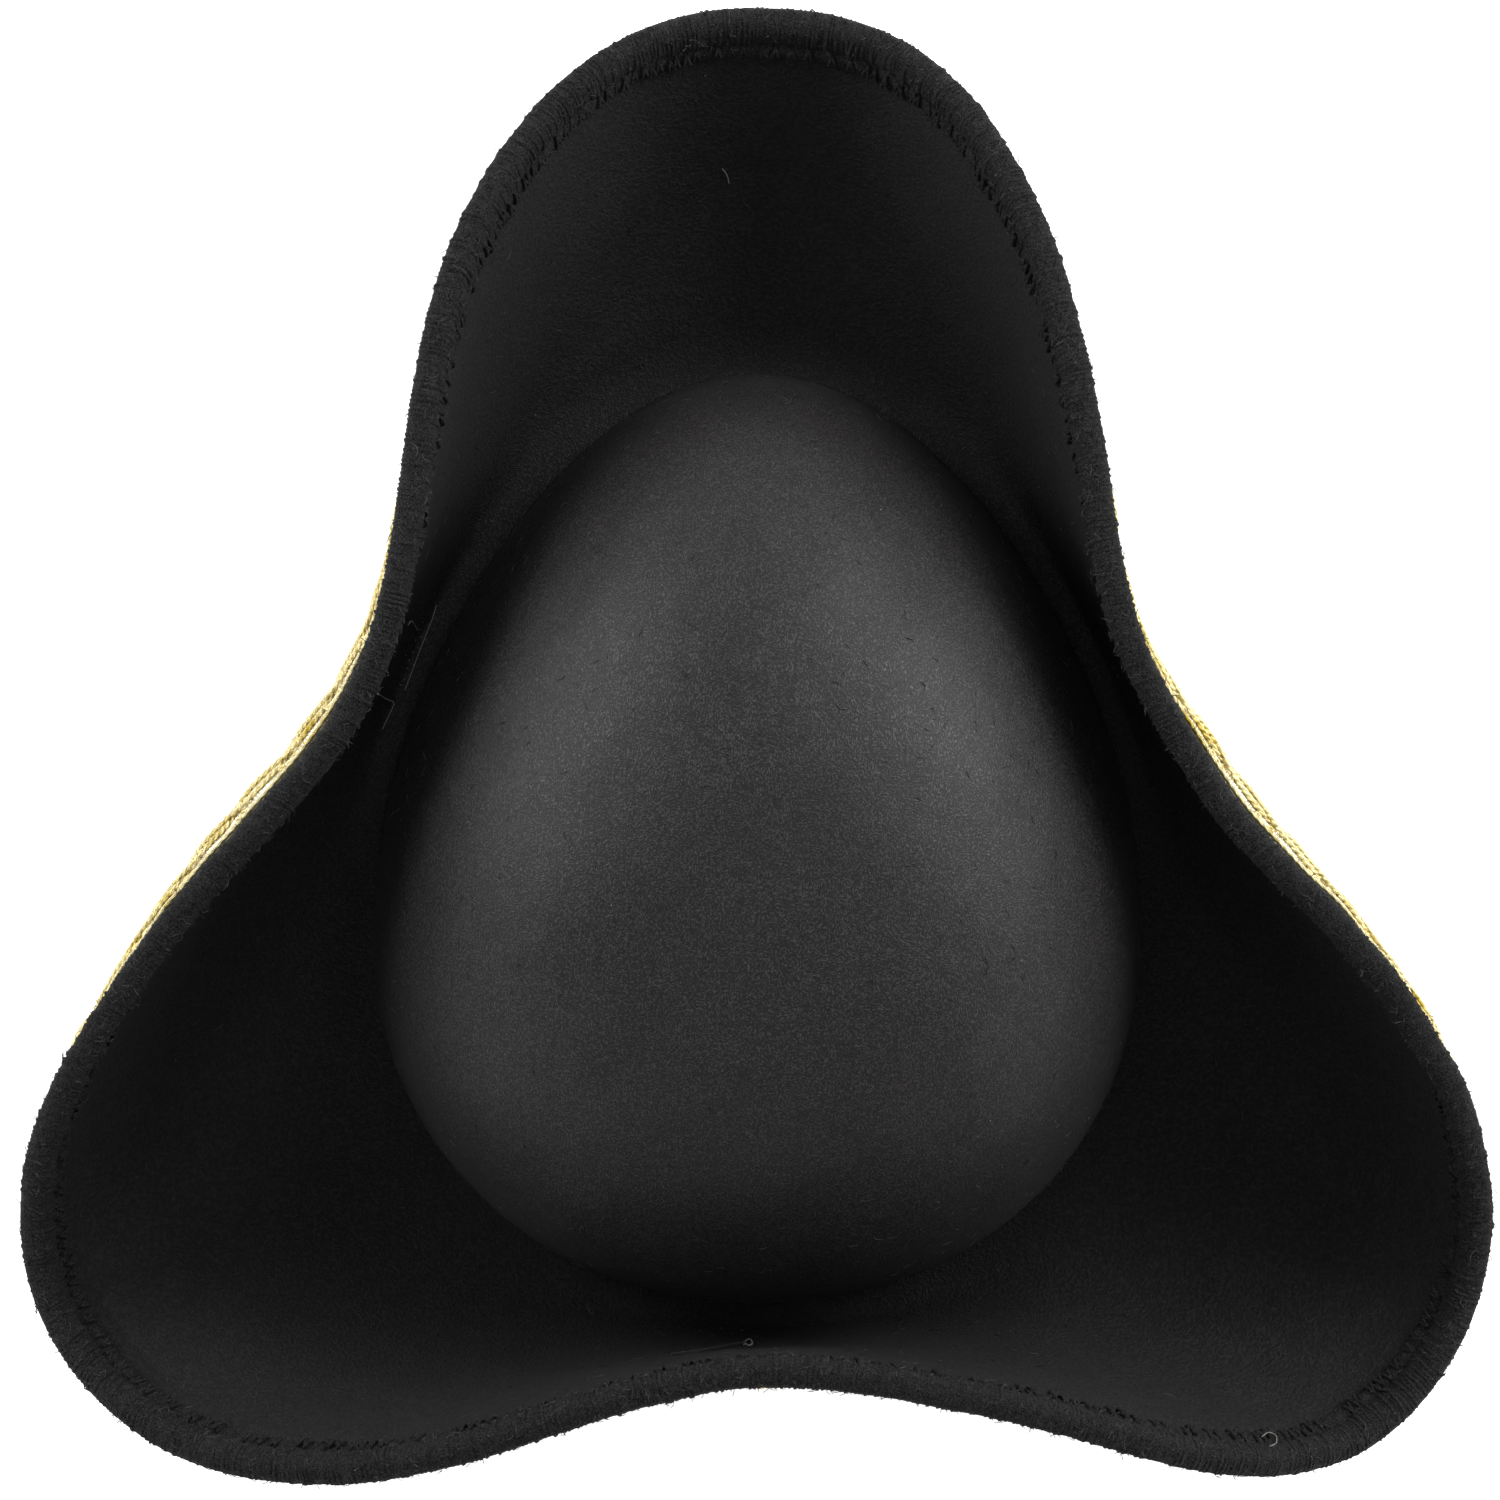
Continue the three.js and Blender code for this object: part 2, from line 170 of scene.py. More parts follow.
class HatForm:
    """Middle of the felt, in millimetres from the crown's axis, and what lies on it."""

    def __init__(self, sizes, braid):
        self.half_felt = sizes.felt_thickness / MILLIMETRE / 2
        self.crown_height = sizes.crown_height / MILLIMETRE
        self.brim_width = sizes.brim_width / MILLIMETRE
        self.unevenness = sizes.unevenness / MILLIMETRE
        self.width, self.reach, self.lean = fold_curves()
        degrees = np.radians(np.arange(181))
        peak = (np.sin(degrees) * (1 - CROWN_NARROWING * np.cos(degrees))).max()
        self.half_width = (sizes.crown_width / MILLIMETRE / 2 - self.half_felt) / peak
        self.half_length = sizes.crown_length / MILLIMETRE / 2 - self.half_felt
        self.braid_top = braid.top / MILLIMETRE
        self.braid_width = braid.width / MILLIMETRE
        self.braid_middle = self.braid_top + self.braid_width / 2
        every_turn = np.arange(361.0)
        line = self.points(every_turn, self.brim(every_turn, self.braid_middle))[:, 0]
        steps = np.linalg.norm(np.diff(line, axis=0), axis=1)
        self.turn_lengths = np.concatenate([[0.0], np.cumsum(steps)])
        self.length = self.turn_lengths[-1]
        self.eyes = round(self.length / (braid.eye_pitch / MILLIMETRE))
        self.pitch = self.length / self.eyes
        self.shift = np.zeros(3)
        self.table = None

    def turns_at(self, lengths):
        """Turns at lengths along the middle line of the braid."""
        return np.interp(lengths, self.turn_lengths, np.arange(361.0))

    def foot(self, turns):
        """Egg-shaped foot of the crown."""
        angle = np.radians(turns)
        across = self.half_width * np.sin(angle) * (1 - CROWN_NARROWING * np.cos(angle))
        return np.stack([across, -self.half_length * np.cos(angle)], -1)

    def profiles(self, turns):
        """Cubic profiles of the brim whose heights use up the felt's width."""
        felt = self.brim_width * self.width(turns)
        reach = self.brim_width * self.reach(turns)
        lean = np.radians(self.lean(turns))
        start = self.brim_width * FOOT_PULL + np.maximum(reach, 0) * FOOT_SPREAD
        pull = felt * EDGE_PULL
        zero = np.zeros_like(reach)
        t = np.linspace(0, 1, PROFILE_STEPS + 1)

        def measured(rise):
            across = np.stack([zero, start, reach - pull * np.cos(lean), reach], -1)
            up = np.stack([zero, zero, rise - pull * np.sin(lean), rise], -1)
            corners = np.stack([across, up], -1)
            chords = np.linalg.norm(np.diff(bezier(corners, t)[0], axis=1), axis=2)
            return corners, np.cumsum(np.pad(chords, ((0, 0), (1, 0))), axis=1)

        low, high = zero, felt
        for _ in range(RISE_PASSES):
            middle = (low + high) / 2
            short = measured(middle)[1][:, -1] < felt
            low, high = np.where(short, middle, low), np.where(short, high, middle)
        corners, lengths = measured((low + high) / 2)
        return corners, lengths, felt, t

    def brim(self, turns, distances, from_ring=False):
        """Rows of the brim at distances from the cut edge, or at shares of the way to it."""
        corners, lengths, felt, t = self.profiles(turns)
        distances = np.atleast_1d(distances)
        if from_ring:
            run = felt[:, None] * distances[None, :]
        else:
            run = felt[:, None] - np.maximum(distances, 0)[None, :]
        scaled = lengths * (felt / lengths[:, -1])[:, None]
        at = np.stack([np.interp(run[i], scaled[i], t) for i in range(len(turns))])
        place, slope = bezier(corners, at)
        slope /= np.linalg.norm(slope, axis=2, keepdims=True)
        past = np.zeros_like(run) if from_ring else np.broadcast_to(np.maximum(-distances, 0), run.shape)
        out = BREAK_RADIUS + RESTING_RING + place[..., 0] + slope[..., 0] * past
        height = self.half_felt + place[..., 1] + slope[..., 1] * past
        return {"share": 1.0, "out": out, "height": height, "slope": slope, "run": run}

    def points(self, turns, rows):
        """Places of rows in the hat."""
        foot = self.foot(turns)
        away = foot / np.linalg.norm(foot, axis=1, keepdims=True)
        plan = foot[:, None, :] * np.broadcast_to(rows["share"], rows["out"].shape)[..., None]
        plan = plan + away[:, None, :] * rows["out"][..., None]
        return np.concatenate([plan, rows["height"][..., None]], -1)

    def normals(self, turns, rows, points):
        """Directions off the felt, on the side of the crown's outside."""
        foot = self.foot(turns)
        away = foot / np.linalg.norm(foot, axis=1, keepdims=True)
        down = np.concatenate([away[:, None, :] * rows["slope"][..., :1], rows["slope"][..., 1:]], -1)
        along = np.roll(points, -1, axis=0) - np.roll(points, 1, axis=0)
        normal = np.cross(down, along)
        return normal / np.linalg.norm(normal, axis=2, keepdims=True)

    def relief(self, points, turns, distances, foot_distance):
        """Hand-made unevenness of the felt: soft waves, a ridge by the crown and a crease by the edge."""
        waves = soft_waves(points, *LONG_WAVE) + 0.45 * soft_waves(points, *SHORT_WAVE)
        height = self.unevenness * waves + 0.05 * soft_waves(points, *FINE_WAVE)
        turn = np.broadcast_to(np.mod(turns, 360.0)[:, None], distances.shape)
        ridge = bell(foot_distance, 9.5, 2.6) - 0.7 * bell(foot_distance, 4.0, 2.5)
        ridge = gate(turn, *RIDGE_TURNS) * ridge
        crease = gate(turn, *CREASE_TURNS) * bell(distances, 14.0, 0.9)
        return height + 0.8 * ridge - 0.45 * crease

    def make_table(self, sections_per_eye=24, step=0.5, low=-4.0, high=44.0):
        """Fine grid of the brim near its edge, which trimmings are laid on."""
        count = self.eyes * sections_per_eye
        turns = self.turns_at(self.length * np.arange(count) / count)
        distances = np.arange(low, high + step / 2, step)
        rows = self.brim(turns, distances)
        points = self.points(turns, rows)
        normals = self.normals(turns, rows, points)
        edge = np.broadcast_to(distances[None, :], rows["run"].shape)
        lift = self.relief(points, turns, edge, rows["run"])
        self.table = (points + normals * lift[..., None], normals, low, step)

    def wrap(self, flat):
        """Lays flat points (length along, distance from the edge, height off the felt) on the brim."""
        points, normals, low, step = self.table
        count, columns = points.shape[:2]
        along = np.mod(flat[:, 0] / self.length, 1.0) * count
        across = np.clip((flat[:, 1] - low) / step, 0, columns - 1.001)
        i, j = np.floor(along).astype(int), np.floor(across).astype(int)
        u, v = (along - i)[:, None], (across - j)[:, None]
        i, after = i % count, (i + 1) % count

        def blend(grid):
            near = grid[i, j] * (1 - u) + grid[after, j] * u
            far = grid[i, j + 1] * (1 - u) + grid[after, j + 1] * u
            return near * (1 - v) + far * v

        direction = blend(normals)
        direction /= np.linalg.norm(direction, axis=1, keepdims=True)
        return blend(points) + direction * flat[:, 2:3] + self.shift


FORMS = {}


def hat_form(context):
    """The hat's form for the present sizes, worked out once."""
    if "form" not in FORMS:
        FORMS["form"] = HatForm(context.scene.tricorn_felt, context.scene.tricorn_braid)
    return FORMS["form"]


# Meshes and objects


def new_object(name, vertices, faces=(), edges=(), material=None):
    """Object at the origin with its place, given in millimetres, in its mesh."""
    mesh = bpy.data.meshes.new(name)
    places = np.asarray(vertices, float) * MILLIMETRE
    mesh.from_pydata(places.tolist(), list(edges), [list(face) for face in faces])
    if material:
        mesh.materials.append(material)
    mesh.polygons.foreach_set("use_smooth", [True] * len(mesh.polygons))
    mesh.update()
    obj = bpy.data.objects.new(name, mesh)
    bpy.context.scene.collection.objects.link(obj)
    return obj


def grown(obj, tree, values):
    """Runs a node tree on an object and keeps its result as the object's plain mesh."""
    modifier = obj.modifiers.new("Growth", "NODES")
    modifier.node_group = tree
    for item in tree.interface.items_tree:
        if item.item_type == "SOCKET" and item.in_out == "INPUT" and item.name in values:
            modifier[item.identifier] = values[item.name]
    obj.update_tag()
    graph = bpy.context.evaluated_depsgraph_get()
    mesh = bpy.data.meshes.new_from_object(obj.evaluated_get(graph))
    obj.modifiers.remove(modifier)
    path = obj.data
    obj.data = mesh
    bpy.data.meshes.remove(path)
    if not mesh.polygons:
        raise RuntimeError(f"{obj.name} came out empty")
    return obj


def mesh_points(obj):
    """An object's points in millimetres."""
    points = np.zeros(len(obj.data.vertices) * 3)
    obj.data.vertices.foreach_get("co", points)
    return points.reshape(-1, 3) / MILLIMETRE


def faces_above(name, obj, height):
    """Copy of the faces of an object whose middles lie above a height."""
    points = mesh_points(obj)
    faces = [face.vertices[:] for face in obj.data.polygons if face.center.z > height * MILLIMETRE]
    return new_object(name, points, faces)


def set_mesh_points(obj, points):
    """Moves an object's points to places in millimetres."""
    obj.data.vertices.foreach_set("co", (np.asarray(points) * MILLIMETRE).ravel())
    obj.data.update()


def joined(name, objects):
    """Joins objects into one mesh."""
    bpy.ops.object.select_all(action="DESELECT")
    for obj in objects:
        obj.select_set(True)
    bpy.context.view_layer.objects.active = objects[0]
    bpy.ops.object.join()
    objects[0].name = name
    objects[0].data.name = name
    return objects[0]


def part_of_hat(obj, replaces=None):
    """Ties a finished piece to the hat."""
    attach(obj, "root")
    if replaces:
        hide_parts(replaces)


def band(name, form, outline, sections, material, uv_name="weave"):
    """Closed band laid round the brim: outline(x) gives rows of distance and height at lengths x."""
    lengths = form.length * np.arange(sections) / sections
    distance, height = outline(lengths)
    rows = distance.shape[1]
    flat = np.stack([np.repeat(lengths, rows), distance.ravel(), height.ravel()], -1)
    i, k = np.meshgrid(np.arange(sections), np.arange(rows), indexing="ij")
    after, beside = (i + 1) % sections, (k + 1) % rows
    faces = np.stack([i * rows + k, after * rows + k, after * rows + beside, i * rows + beside], -1)
    obj = new_object(name, form.wrap(flat), faces.reshape(-1, 4), material=material)
    girth = np.hypot(np.roll(distance, -1, 1) - distance, np.roll(height, -1, 1) - height)
    around = np.concatenate([np.zeros((sections, 1)), np.cumsum(girth, 1)], 1).mean(0)
    step = form.length / sections
    corners = np.stack([
        np.stack([i * step, around[k]], -1), np.stack([(i + 1) * step, around[k]], -1),
        np.stack([(i + 1) * step, around[k + 1]], -1), np.stack([i * step, around[k + 1]], -1),
    ], 2)
    layer = obj.data.uv_layers.new(name=uv_name)
    layer.data.foreach_set("uv", corners.reshape(-1))
    return obj


# Node trees


def add_node(tree, kind, settings=None, inputs=None):
    """New node: its settings first, then values or links for its sockets by name or number."""
    node = tree.nodes.new(kind)
    node.location = (180 * (len(tree.nodes) % 12), -220 * (len(tree.nodes) // 12))
    for name, value in (settings or {}).items():
        setattr(node, name, value)
    for key, value in (inputs or {}).items():
        socket = node.inputs[key]
        value = getattr(value, "socket", value)
        if isinstance(value, bpy.types.NodeSocket):
            tree.links.new(value, socket)
        else:
            socket.default_value = value
    return node


def new_tree(name, sockets):
    """Geometry tree with a geometry input and output and further named inputs."""
    tree = bpy.data.node_groups.new(name, "GeometryNodeTree")
    tree.interface.new_socket(name="Geometry", in_out="INPUT", socket_type="NodeSocketGeometry")
    for socket_name, kind, value in sockets:
        socket = tree.interface.new_socket(name=socket_name, in_out="INPUT", socket_type="NodeSocket" + kind)
        if value is not None:
            socket.default_value = value
    tree.interface.new_socket(name="Geometry", in_out="OUTPUT", socket_type="NodeSocketGeometry")
    return tree, add_node(tree, "NodeGroupInput").outputs


def number(tree, operation, *values):
    """Result of a Math node."""
    return add_node(tree, "ShaderNodeMath", {"operation": operation}, dict(enumerate(values))).outputs[0]


def vector(tree, *axes):
    """Vector made of numbers, 0 where an axis is None or left out."""
    given = {axis: value for axis, value in enumerate(axes) if value is not None}
    return add_node(tree, "ShaderNodeCombineXYZ", None, given).outputs[0]


def scaled(tree, vectors, factor):
    """Vectors times a number."""
    node = add_node(tree, "ShaderNodeVectorMath", {"operation": "SCALE"}, {0: vectors, "Scale": factor})
    return node.outputs[0]


def turned(tree, angles):
    """Rotation by angles about the three axes."""
    return add_node(tree, "FunctionNodeEulerToRotation", None, {0: angles}).outputs[0]


def random_value(tree, kind, low, high, seed, salt):
    """Random number or vector for each point."""
    first = {"FLOAT_VECTOR": 0, "FLOAT": 2}[kind]
    own = number(tree, "ADD", seed, float(salt))
    node = add_node(tree, "FunctionNodeRandomValue", {"data_type": kind},
                    {first: low, first + 1: high, "Seed": own})
    return node.outputs[0 if kind == "FLOAT_VECTOR" else 1]


def finish_tree(tree, geometry, material):
    """Ends a tree: real geometry, shaded smooth, with its material."""
    real = add_node(tree, "GeometryNodeRealizeInstances", None, {0: geometry})
    soft = add_node(tree, "GeometryNodeSetShadeSmooth", None, {0: real.outputs[0]})
    named = add_node(tree, "GeometryNodeSetMaterial", None, {"Geometry": soft.outputs[0], "Material": material})
    add_node(tree, "NodeGroupOutput", None, {0: named.outputs[0]})
    return tree


def thread_mesh(tree, curve, radius, sides):
    """Round thread along a curve, with length and turn stored for its material."""
    ring = add_node(tree, "GeometryNodeCurvePrimitiveCircle", {"mode": "RADIUS"},
                    {"Resolution": sides, "Radius": radius})
    spline = add_node(tree, "GeometryNodeSplineParameter")
    kept = []
    for geometry, output in ((curve, "Length"), (ring.outputs[0], "Factor")):
        node = tree.nodes.new("GeometryNodeCaptureAttribute")
        node.capture_items.new("FLOAT", output)
        tree.links.new(geometry, node.inputs[0])
        tree.links.new(spline.outputs[output], node.inputs[1])
        kept.append(node)
    tube = add_node(tree, "GeometryNodeCurveToMesh", None,
                    {"Curve": kept[0].outputs[0], "Profile Curve": kept[1].outputs[0], "Fill Caps": True})
    place = vector(tree, kept[0].outputs[1], kept[1].outputs[1])
    stored = add_node(tree, "GeometryNodeStoreNamedAttribute", {"data_type": "FLOAT2", "domain": "CORNER"},
                      {"Geometry": tube.outputs[0], "Name": "thread", "Value": place})
    return stored.outputs[0]


def thread_tree():
    """Sweeps a thread along the paths of a mesh of edges and repeats it along X."""
    tree, given = new_tree("Repeated thread", (
        ("Count", "Int", 1), ("Pitch", "Float", 0.001), ("Thread radius", "Float", 0.0004), ("Sides", "Int", 6),
        ("Stray", "Float", 0.0), ("Tilt", "Float", 0.0), ("Size spread", "Float", 0.0), ("Seed", "Int", 1),
        ("Material", "Material", None)))
    curve = add_node(tree, "GeometryNodeMeshToCurve", None, {0: given["Geometry"]}).outputs[0]
    thread = thread_mesh(tree, curve, given["Thread radius"], given["Sides"])
    line = add_node(tree, "GeometryNodeMeshLine", {"mode": "OFFSET"},
                    {"Count": given["Count"], "Offset": vector(tree, given["Pitch"])})
    aside = random_value(tree, "FLOAT_VECTOR", (-1, -1, -1), (1, 1, 1), given["Seed"], 0)
    line = add_node(tree, "GeometryNodeSetPosition", None,
                    {"Geometry": line.outputs[0], "Offset": scaled(tree, aside, given["Stray"])})
    lean = random_value(tree, "FLOAT_VECTOR", (-0.4, -0.4, -1), (0.4, 0.4, 1), given["Seed"], 11)
    lean = turned(tree, scaled(tree, lean, given["Tilt"]))
    spread = random_value(tree, "FLOAT", -1.0, 1.0, given["Seed"], 23)
    size = number(tree, "MULTIPLY_ADD", spread, given["Size spread"], 1.0)
    copies = add_node(tree, "GeometryNodeInstanceOnPoints", None,
                      {"Points": line.outputs[0], "Instance": thread, "Rotation": lean, "Scale": size})
    return finish_tree(tree, copies.outputs[0], given["Material"])


def fibre_tree():
    """Scatters short bent fibres over the faces of a mesh, from lying flat to standing up."""
    tree, given = new_tree("Scattered fibres", (
        ("Density", "Float", 40000.0), ("Fibre length", "Float", 0.003), ("Fibre radius", "Float", 0.00006),
        ("Lift", "Float", 0.3), ("Size spread", "Float", 0.4), ("Seed", "Int", 1),
        ("Material", "Material", None)))
    points = add_node(tree, "GeometryNodeDistributePointsOnFaces", {"distribute_method": "RANDOM"},
                      {"Mesh": given["Geometry"], "Density": given["Density"], "Seed": given["Seed"]})
    length, radius = given["Fibre length"], given["Fibre radius"]
    sink = number(tree, "MULTIPLY", radius, -0.5)
    curve = add_node(tree, "GeometryNodeCurveQuadraticBezier", None, {
        "Resolution": 3,
        "Start": vector(tree, number(tree, "MULTIPLY", length, -0.5), None, sink),
        "Middle": vector(tree, None, number(tree, "MULTIPLY", length, 0.45), radius),
        "End": vector(tree, number(tree, "MULTIPLY", length, 0.5), None, sink)})
    fibre = thread_mesh(tree, curve.outputs[0], radius, 3)
    spin = random_value(tree, "FLOAT", 0.0, 2 * math.pi, given["Seed"], 5)
    tip = random_value(tree, "FLOAT", -1.0, 1.0, given["Seed"], 6)
    tip = number(tree, "MULTIPLY", tip, given["Lift"])
    own = points.outputs["Rotation"]
    for angles in (vector(tree, None, None, spin), vector(tree, None, tip)):
        own = add_node(tree, "FunctionNodeRotateRotation", {"rotation_space": "LOCAL"},
                       {0: own, 1: turned(tree, angles)}).outputs[0]
    spread = random_value(tree, "FLOAT", -1.0, 1.0, given["Seed"], 7)
    size = number(tree, "MULTIPLY_ADD", spread, given["Size spread"], 1.0)
    copies = add_node(tree, "GeometryNodeInstanceOnPoints", None,
                      {"Points": points.outputs["Points"], "Instance": fibre, "Rotation": own, "Scale": size})
    return finish_tree(tree, copies.outputs[0], given["Material"])


TREES = {}


def tree_named(make):
    """A node tree made once and shared by the pieces."""
    if make not in TREES:
        TREES[make] = make()
    return TREES[make]


def open_edges(count):
    """Edges along a row of points."""
    return [(k, k + 1) for k in range(count - 1)]


def spun(obj, material, radius, sides, count=1, pitch=0.0, stray=0.0, tilt=0.0, spread=0.0, seed=0):
    """Turns an object's edges into threads, repeated along X; lengths in metres."""
    return grown(obj, tree_named(thread_tree), {
        "Count": count, "Pitch": pitch, "Thread radius": radius, "Sides": sides, "Stray": stray, "Tilt": tilt,
        "Size spread": spread, "Seed": seed, "Material": material})


def spun_round(name, form, path, material, pitch, radius, sides, **strays):
    """Threads along a flat path in millimetres, repeated at about a pitch in metres round the brim."""
    around = form.length * MILLIMETRE
    count = round(around / pitch)
    obj = new_object(name, path, edges=open_edges(len(path)))
    spun(obj, material, radius, sides, count, around / count, **strays)
    set_mesh_points(obj, form.wrap(mesh_points(obj)))
    return obj


# Shader maths

# Half the span of noise values that a line of fibre takes up.
FIBRE_WIDTH = 0.045

# The crown's oval in the felt's colours: its middle's distance in front of the origin in metres,
# and the inverse squares of about its half width and half length.
CROWN_MIDDLE = 0.020
CROWN_ACROSS = 150.0
CROWN_ALONG = 98.0


class Shade:
    """A shader socket that can stand in an expression."""

    def __init__(self, tree, socket):
        self.tree = tree
        self.socket = socket

    def node(self, kind, settings, inputs, output=0):
        return Shade(self.tree, add_node(self.tree, kind, settings, inputs).outputs[output])

    def math(self, operation, *values):
        return Shade(self.tree, number(self.tree, operation, *values))

    def __add__(self, other):
        return self.math("ADD", self, other)

    __radd__ = __add__

    def __sub__(self, other):
        return self.math("SUBTRACT", self, other)

    def __rsub__(self, other):
        return self.math("SUBTRACT", other, self)

    def __mul__(self, other):
        return self.math("MULTIPLY", self, other)

    __rmul__ = __mul__

    def ramp(self, low, high):
        """0 below low, 1 above high, smooth between, also with low above high."""
        return self.node("ShaderNodeMapRange", {"interpolation_type": "SMOOTHSTEP"},
                         {"Value": self, "From Min": low, "From Max": high})

    def mix(self, *ends):
        """Colour between two colours by this factor."""
        first, second = (end if isinstance(end, Shade) else (*end, 1.0) for end in ends)
        return self.node("ShaderNodeMix", {"data_type": "RGBA"}, {0: self, 6: first, 7: second}, 2)

    def noise(self, scale, seed, detail=2.0, roughness=0.5, distortion=0.0):
        """Noise over this coordinate, in features for each metre; the seed moves it aside."""
        aside = self.node("ShaderNodeMapping", None, {
            "Vector": self, "Location": (0.10 * seed, 0.07 * seed, -0.05 * seed)})
        return self.node("ShaderNodeTexNoise", None, {
            "Vector": aside, "Scale": scale, "Detail": detail, "Roughness": roughness,
            "Distortion": distortion})

    def fibres(self, scale, seed):
        """Thin bent lines over this coordinate, 1 on a line."""
        noise = self.noise(scale, seed, 1.0, 0.4, 1.6)
        return self.math("ABSOLUTE", noise - 0.5).ramp(FIBRE_WIDTH, FIBRE_WIDTH * 0.25)

    def stretched(self, scale):
        """This coordinate scaled along its axes."""
        return self.node("ShaderNodeMapping", None, {"Vector": self, "Scale": scale})

    def split(self):
        """Single numbers of this vector."""
        parts = add_node(self.tree, "ShaderNodeSeparateXYZ", None, {0: self})
        return [Shade(self.tree, output) for output in parts.outputs]


def new_material(name, surface, finish):
    """Material with fixed values on its shader and varying ones from surface(coordinates, uv)."""
    material = bpy.data.materials.new(name)
    material.use_nodes = True
    tree = material.node_tree
    shader = tree.nodes["Principled BSDF"]
    for key, value in finish.items():
        shader.inputs[key].default_value = value
    place = Shade(tree, add_node(tree, "ShaderNodeTexCoord").outputs["Object"])

    def uv(layer):
        return Shade(tree, add_node(tree, "ShaderNodeUVMap", {"uv_map": layer}).outputs[0])

    made = surface(place, uv)
    for key, value in made.items():
        if key == "Bump":
            height, depth = value
            bump = place.node("ShaderNodeBump", None, {"Height": height, "Distance": depth, "Strength": 1.0})
            tree.links.new(bump.socket, shader.inputs["Normal"])
        else:
            tree.links.new(value.socket, shader.inputs[key])
    material.diffuse_color = (0.02, 0.02, 0.02, 1)
    return material


def felt_material(colours):
    """Wool felt: purple-black ground under a nap laid by brushing, finer on the crown; the crown is lighter,
    partly from its nap and partly as painted light for its lit top.
    """

    def surface(place, uv):
        side, front, _ = place.split()
        back = front - CROWN_MIDDLE
        reach = place.math("SQRT", side * side * CROWN_ACROSS + back * back * CROWN_ALONG)
        crown = reach.ramp(1.12, 0.94)
        lying = place.noise(190.0, 5.5, 1.0).ramp(0.46, 0.60)
        upright = place.stretched((1.0, 0.58, 0.85)).noise(3000.0, 1.7, 1.0, 0.6)
        across = place.stretched((0.66, 1.0, 0.85)).noise(3000.0, 6.1, 1.0, 0.6)
        nap = (upright * (1 - lying) + across * lying).ramp(0.42, 0.68)
        curls = place.fibres(1250.0, 3.3)
        mottle = place.noise(1150.0, 9.7, 2.0, 0.55).ramp(0.34, 0.68)
        cloud = place.noise(150.0, 2.2, 1.0).ramp(0.3, 0.72)
        patch = place.noise(34.0, 8.4, 1.0).ramp(0.54, 0.70)
        # The crown's felt is made lighter than the brim's: partly its finer nap, partly painted light for the
        # lit crown over the shaded brim.
        soft = mottle * 0.26 + curls * 0.20 + nap * 0.12 + cloud * 0.04 - 0.12
        crown_nap_and_painted_light = nap * 0.68 + curls * 0.46 + cloud * 0.06 - 0.18
        lightness = soft * (1 - crown) + crown_nap_and_painted_light * crown
        ground = patch.mix(colours.felt, colours.felt_green)
        fibre = patch.mix(colours.felt_fibre, colours.felt_fibre_green)
        return {
            "Base Color": lightness.ramp(-0.15, 1.2).mix(ground, fibre),
            "Roughness": 0.74 - 0.16 * crown - 0.18 * lightness,
            "Bump": (mottle * 1.5 * (1 - crown) + nap * (1.3 - 0.8 * crown), 0.00010),
        }

    return new_material("Black felt", surface, {
        "Specular IOR Level": 0.45, "Sheen Weight": 0.02, "Sheen Roughness": 0.4,
        "Sheen Tint": (0.80, 0.76, 0.82, 1.0)})


def wool_material(colours):
    """Overlock yarn: greenish black wool with loose light fibres along each thread."""

    def surface(place, uv):
        hairs = place.fibres(1700.0, 2.9)
        fuzz = place.noise(3300.0, 5.2, 2.0, 0.6, 0.8).ramp(0.42, 0.66)
        clump = place.noise(620.0, 6.6, 2.0).ramp(0.34, 0.68)
        patch = place.noise(70.0, 1.1, 2.0).ramp(0.4, 0.65)
        tone = patch.mix(colours.wool, colours.wool_green)
        lightness = hairs * 0.34 + fuzz * 0.62 + clump * 0.16
        return {
            "Base Color": lightness.ramp(0.0, 1.25).mix(tone, colours.wool_fibre),
            "Roughness": 0.95 - 0.25 * lightness,
            "Bump": (lightness, 0.0004),
        }

    return new_material("Black wool yarn", surface, {
        "Specular IOR Level": 0.2, "Sheen Weight": 0.05, "Sheen Roughness": 0.5,
        "Sheen Tint": (0.80, 0.84, 0.80, 1.0)})


def fibre_material(name, colour, light):
    """Single loose wool fibres."""

    def surface(place, uv):
        tone = place.noise(420.0, 7.7, 1.0).ramp(0.35, 0.65)
        return {"Base Color": tone.mix(colour, light), "Roughness": 0.7 + 0.2 * tone}

    return new_material(name, surface, {"Specular IOR Level": 0.3, "Sheen Weight": 0.1, "Sheen Roughness": 0.4})


def gold_thread_material(colours):
    """Metallic thread: narrow foil wound round a core, with tarnish in places and painted shade in the grooves
    between its turns.
    """

    def surface(place, uv):
        along, around, _ = uv("thread").split()
        winding = place.math("SINE", along * (2 * math.pi / 0.00042) + around * (2 * math.pi))
        lay = place.math("SINE", along * (2 * math.pi / 0.0021) - around * (2 * math.pi))
        tarnish = place.noise(95.0, 3.1, 3.0).ramp(0.5, 0.72)
        grain = place.noise(1500.0, 9.2, 1.0)
        tone = tarnish.mix(colours.gold, colours.gold_tarnish_and_shade)
        shaded_groove = winding.ramp(-0.2, -1.0)
        return {
            # The grooves between the foil's turns are darkened with painted shade.
            "Base Color": (shaded_groove * 0.55).mix(tone, colours.gold_tarnish_and_shade),
            "Roughness": 0.24 + 0.12 * grain + 0.1 * shaded_groove,
            "Bump": (winding * 0.5 + lay * 1.2 + grain * 0.5, 0.00007),
        }

    return new_material("Gold thread", surface, {"Metallic": 0.8, "Specular IOR Level": 0.5})


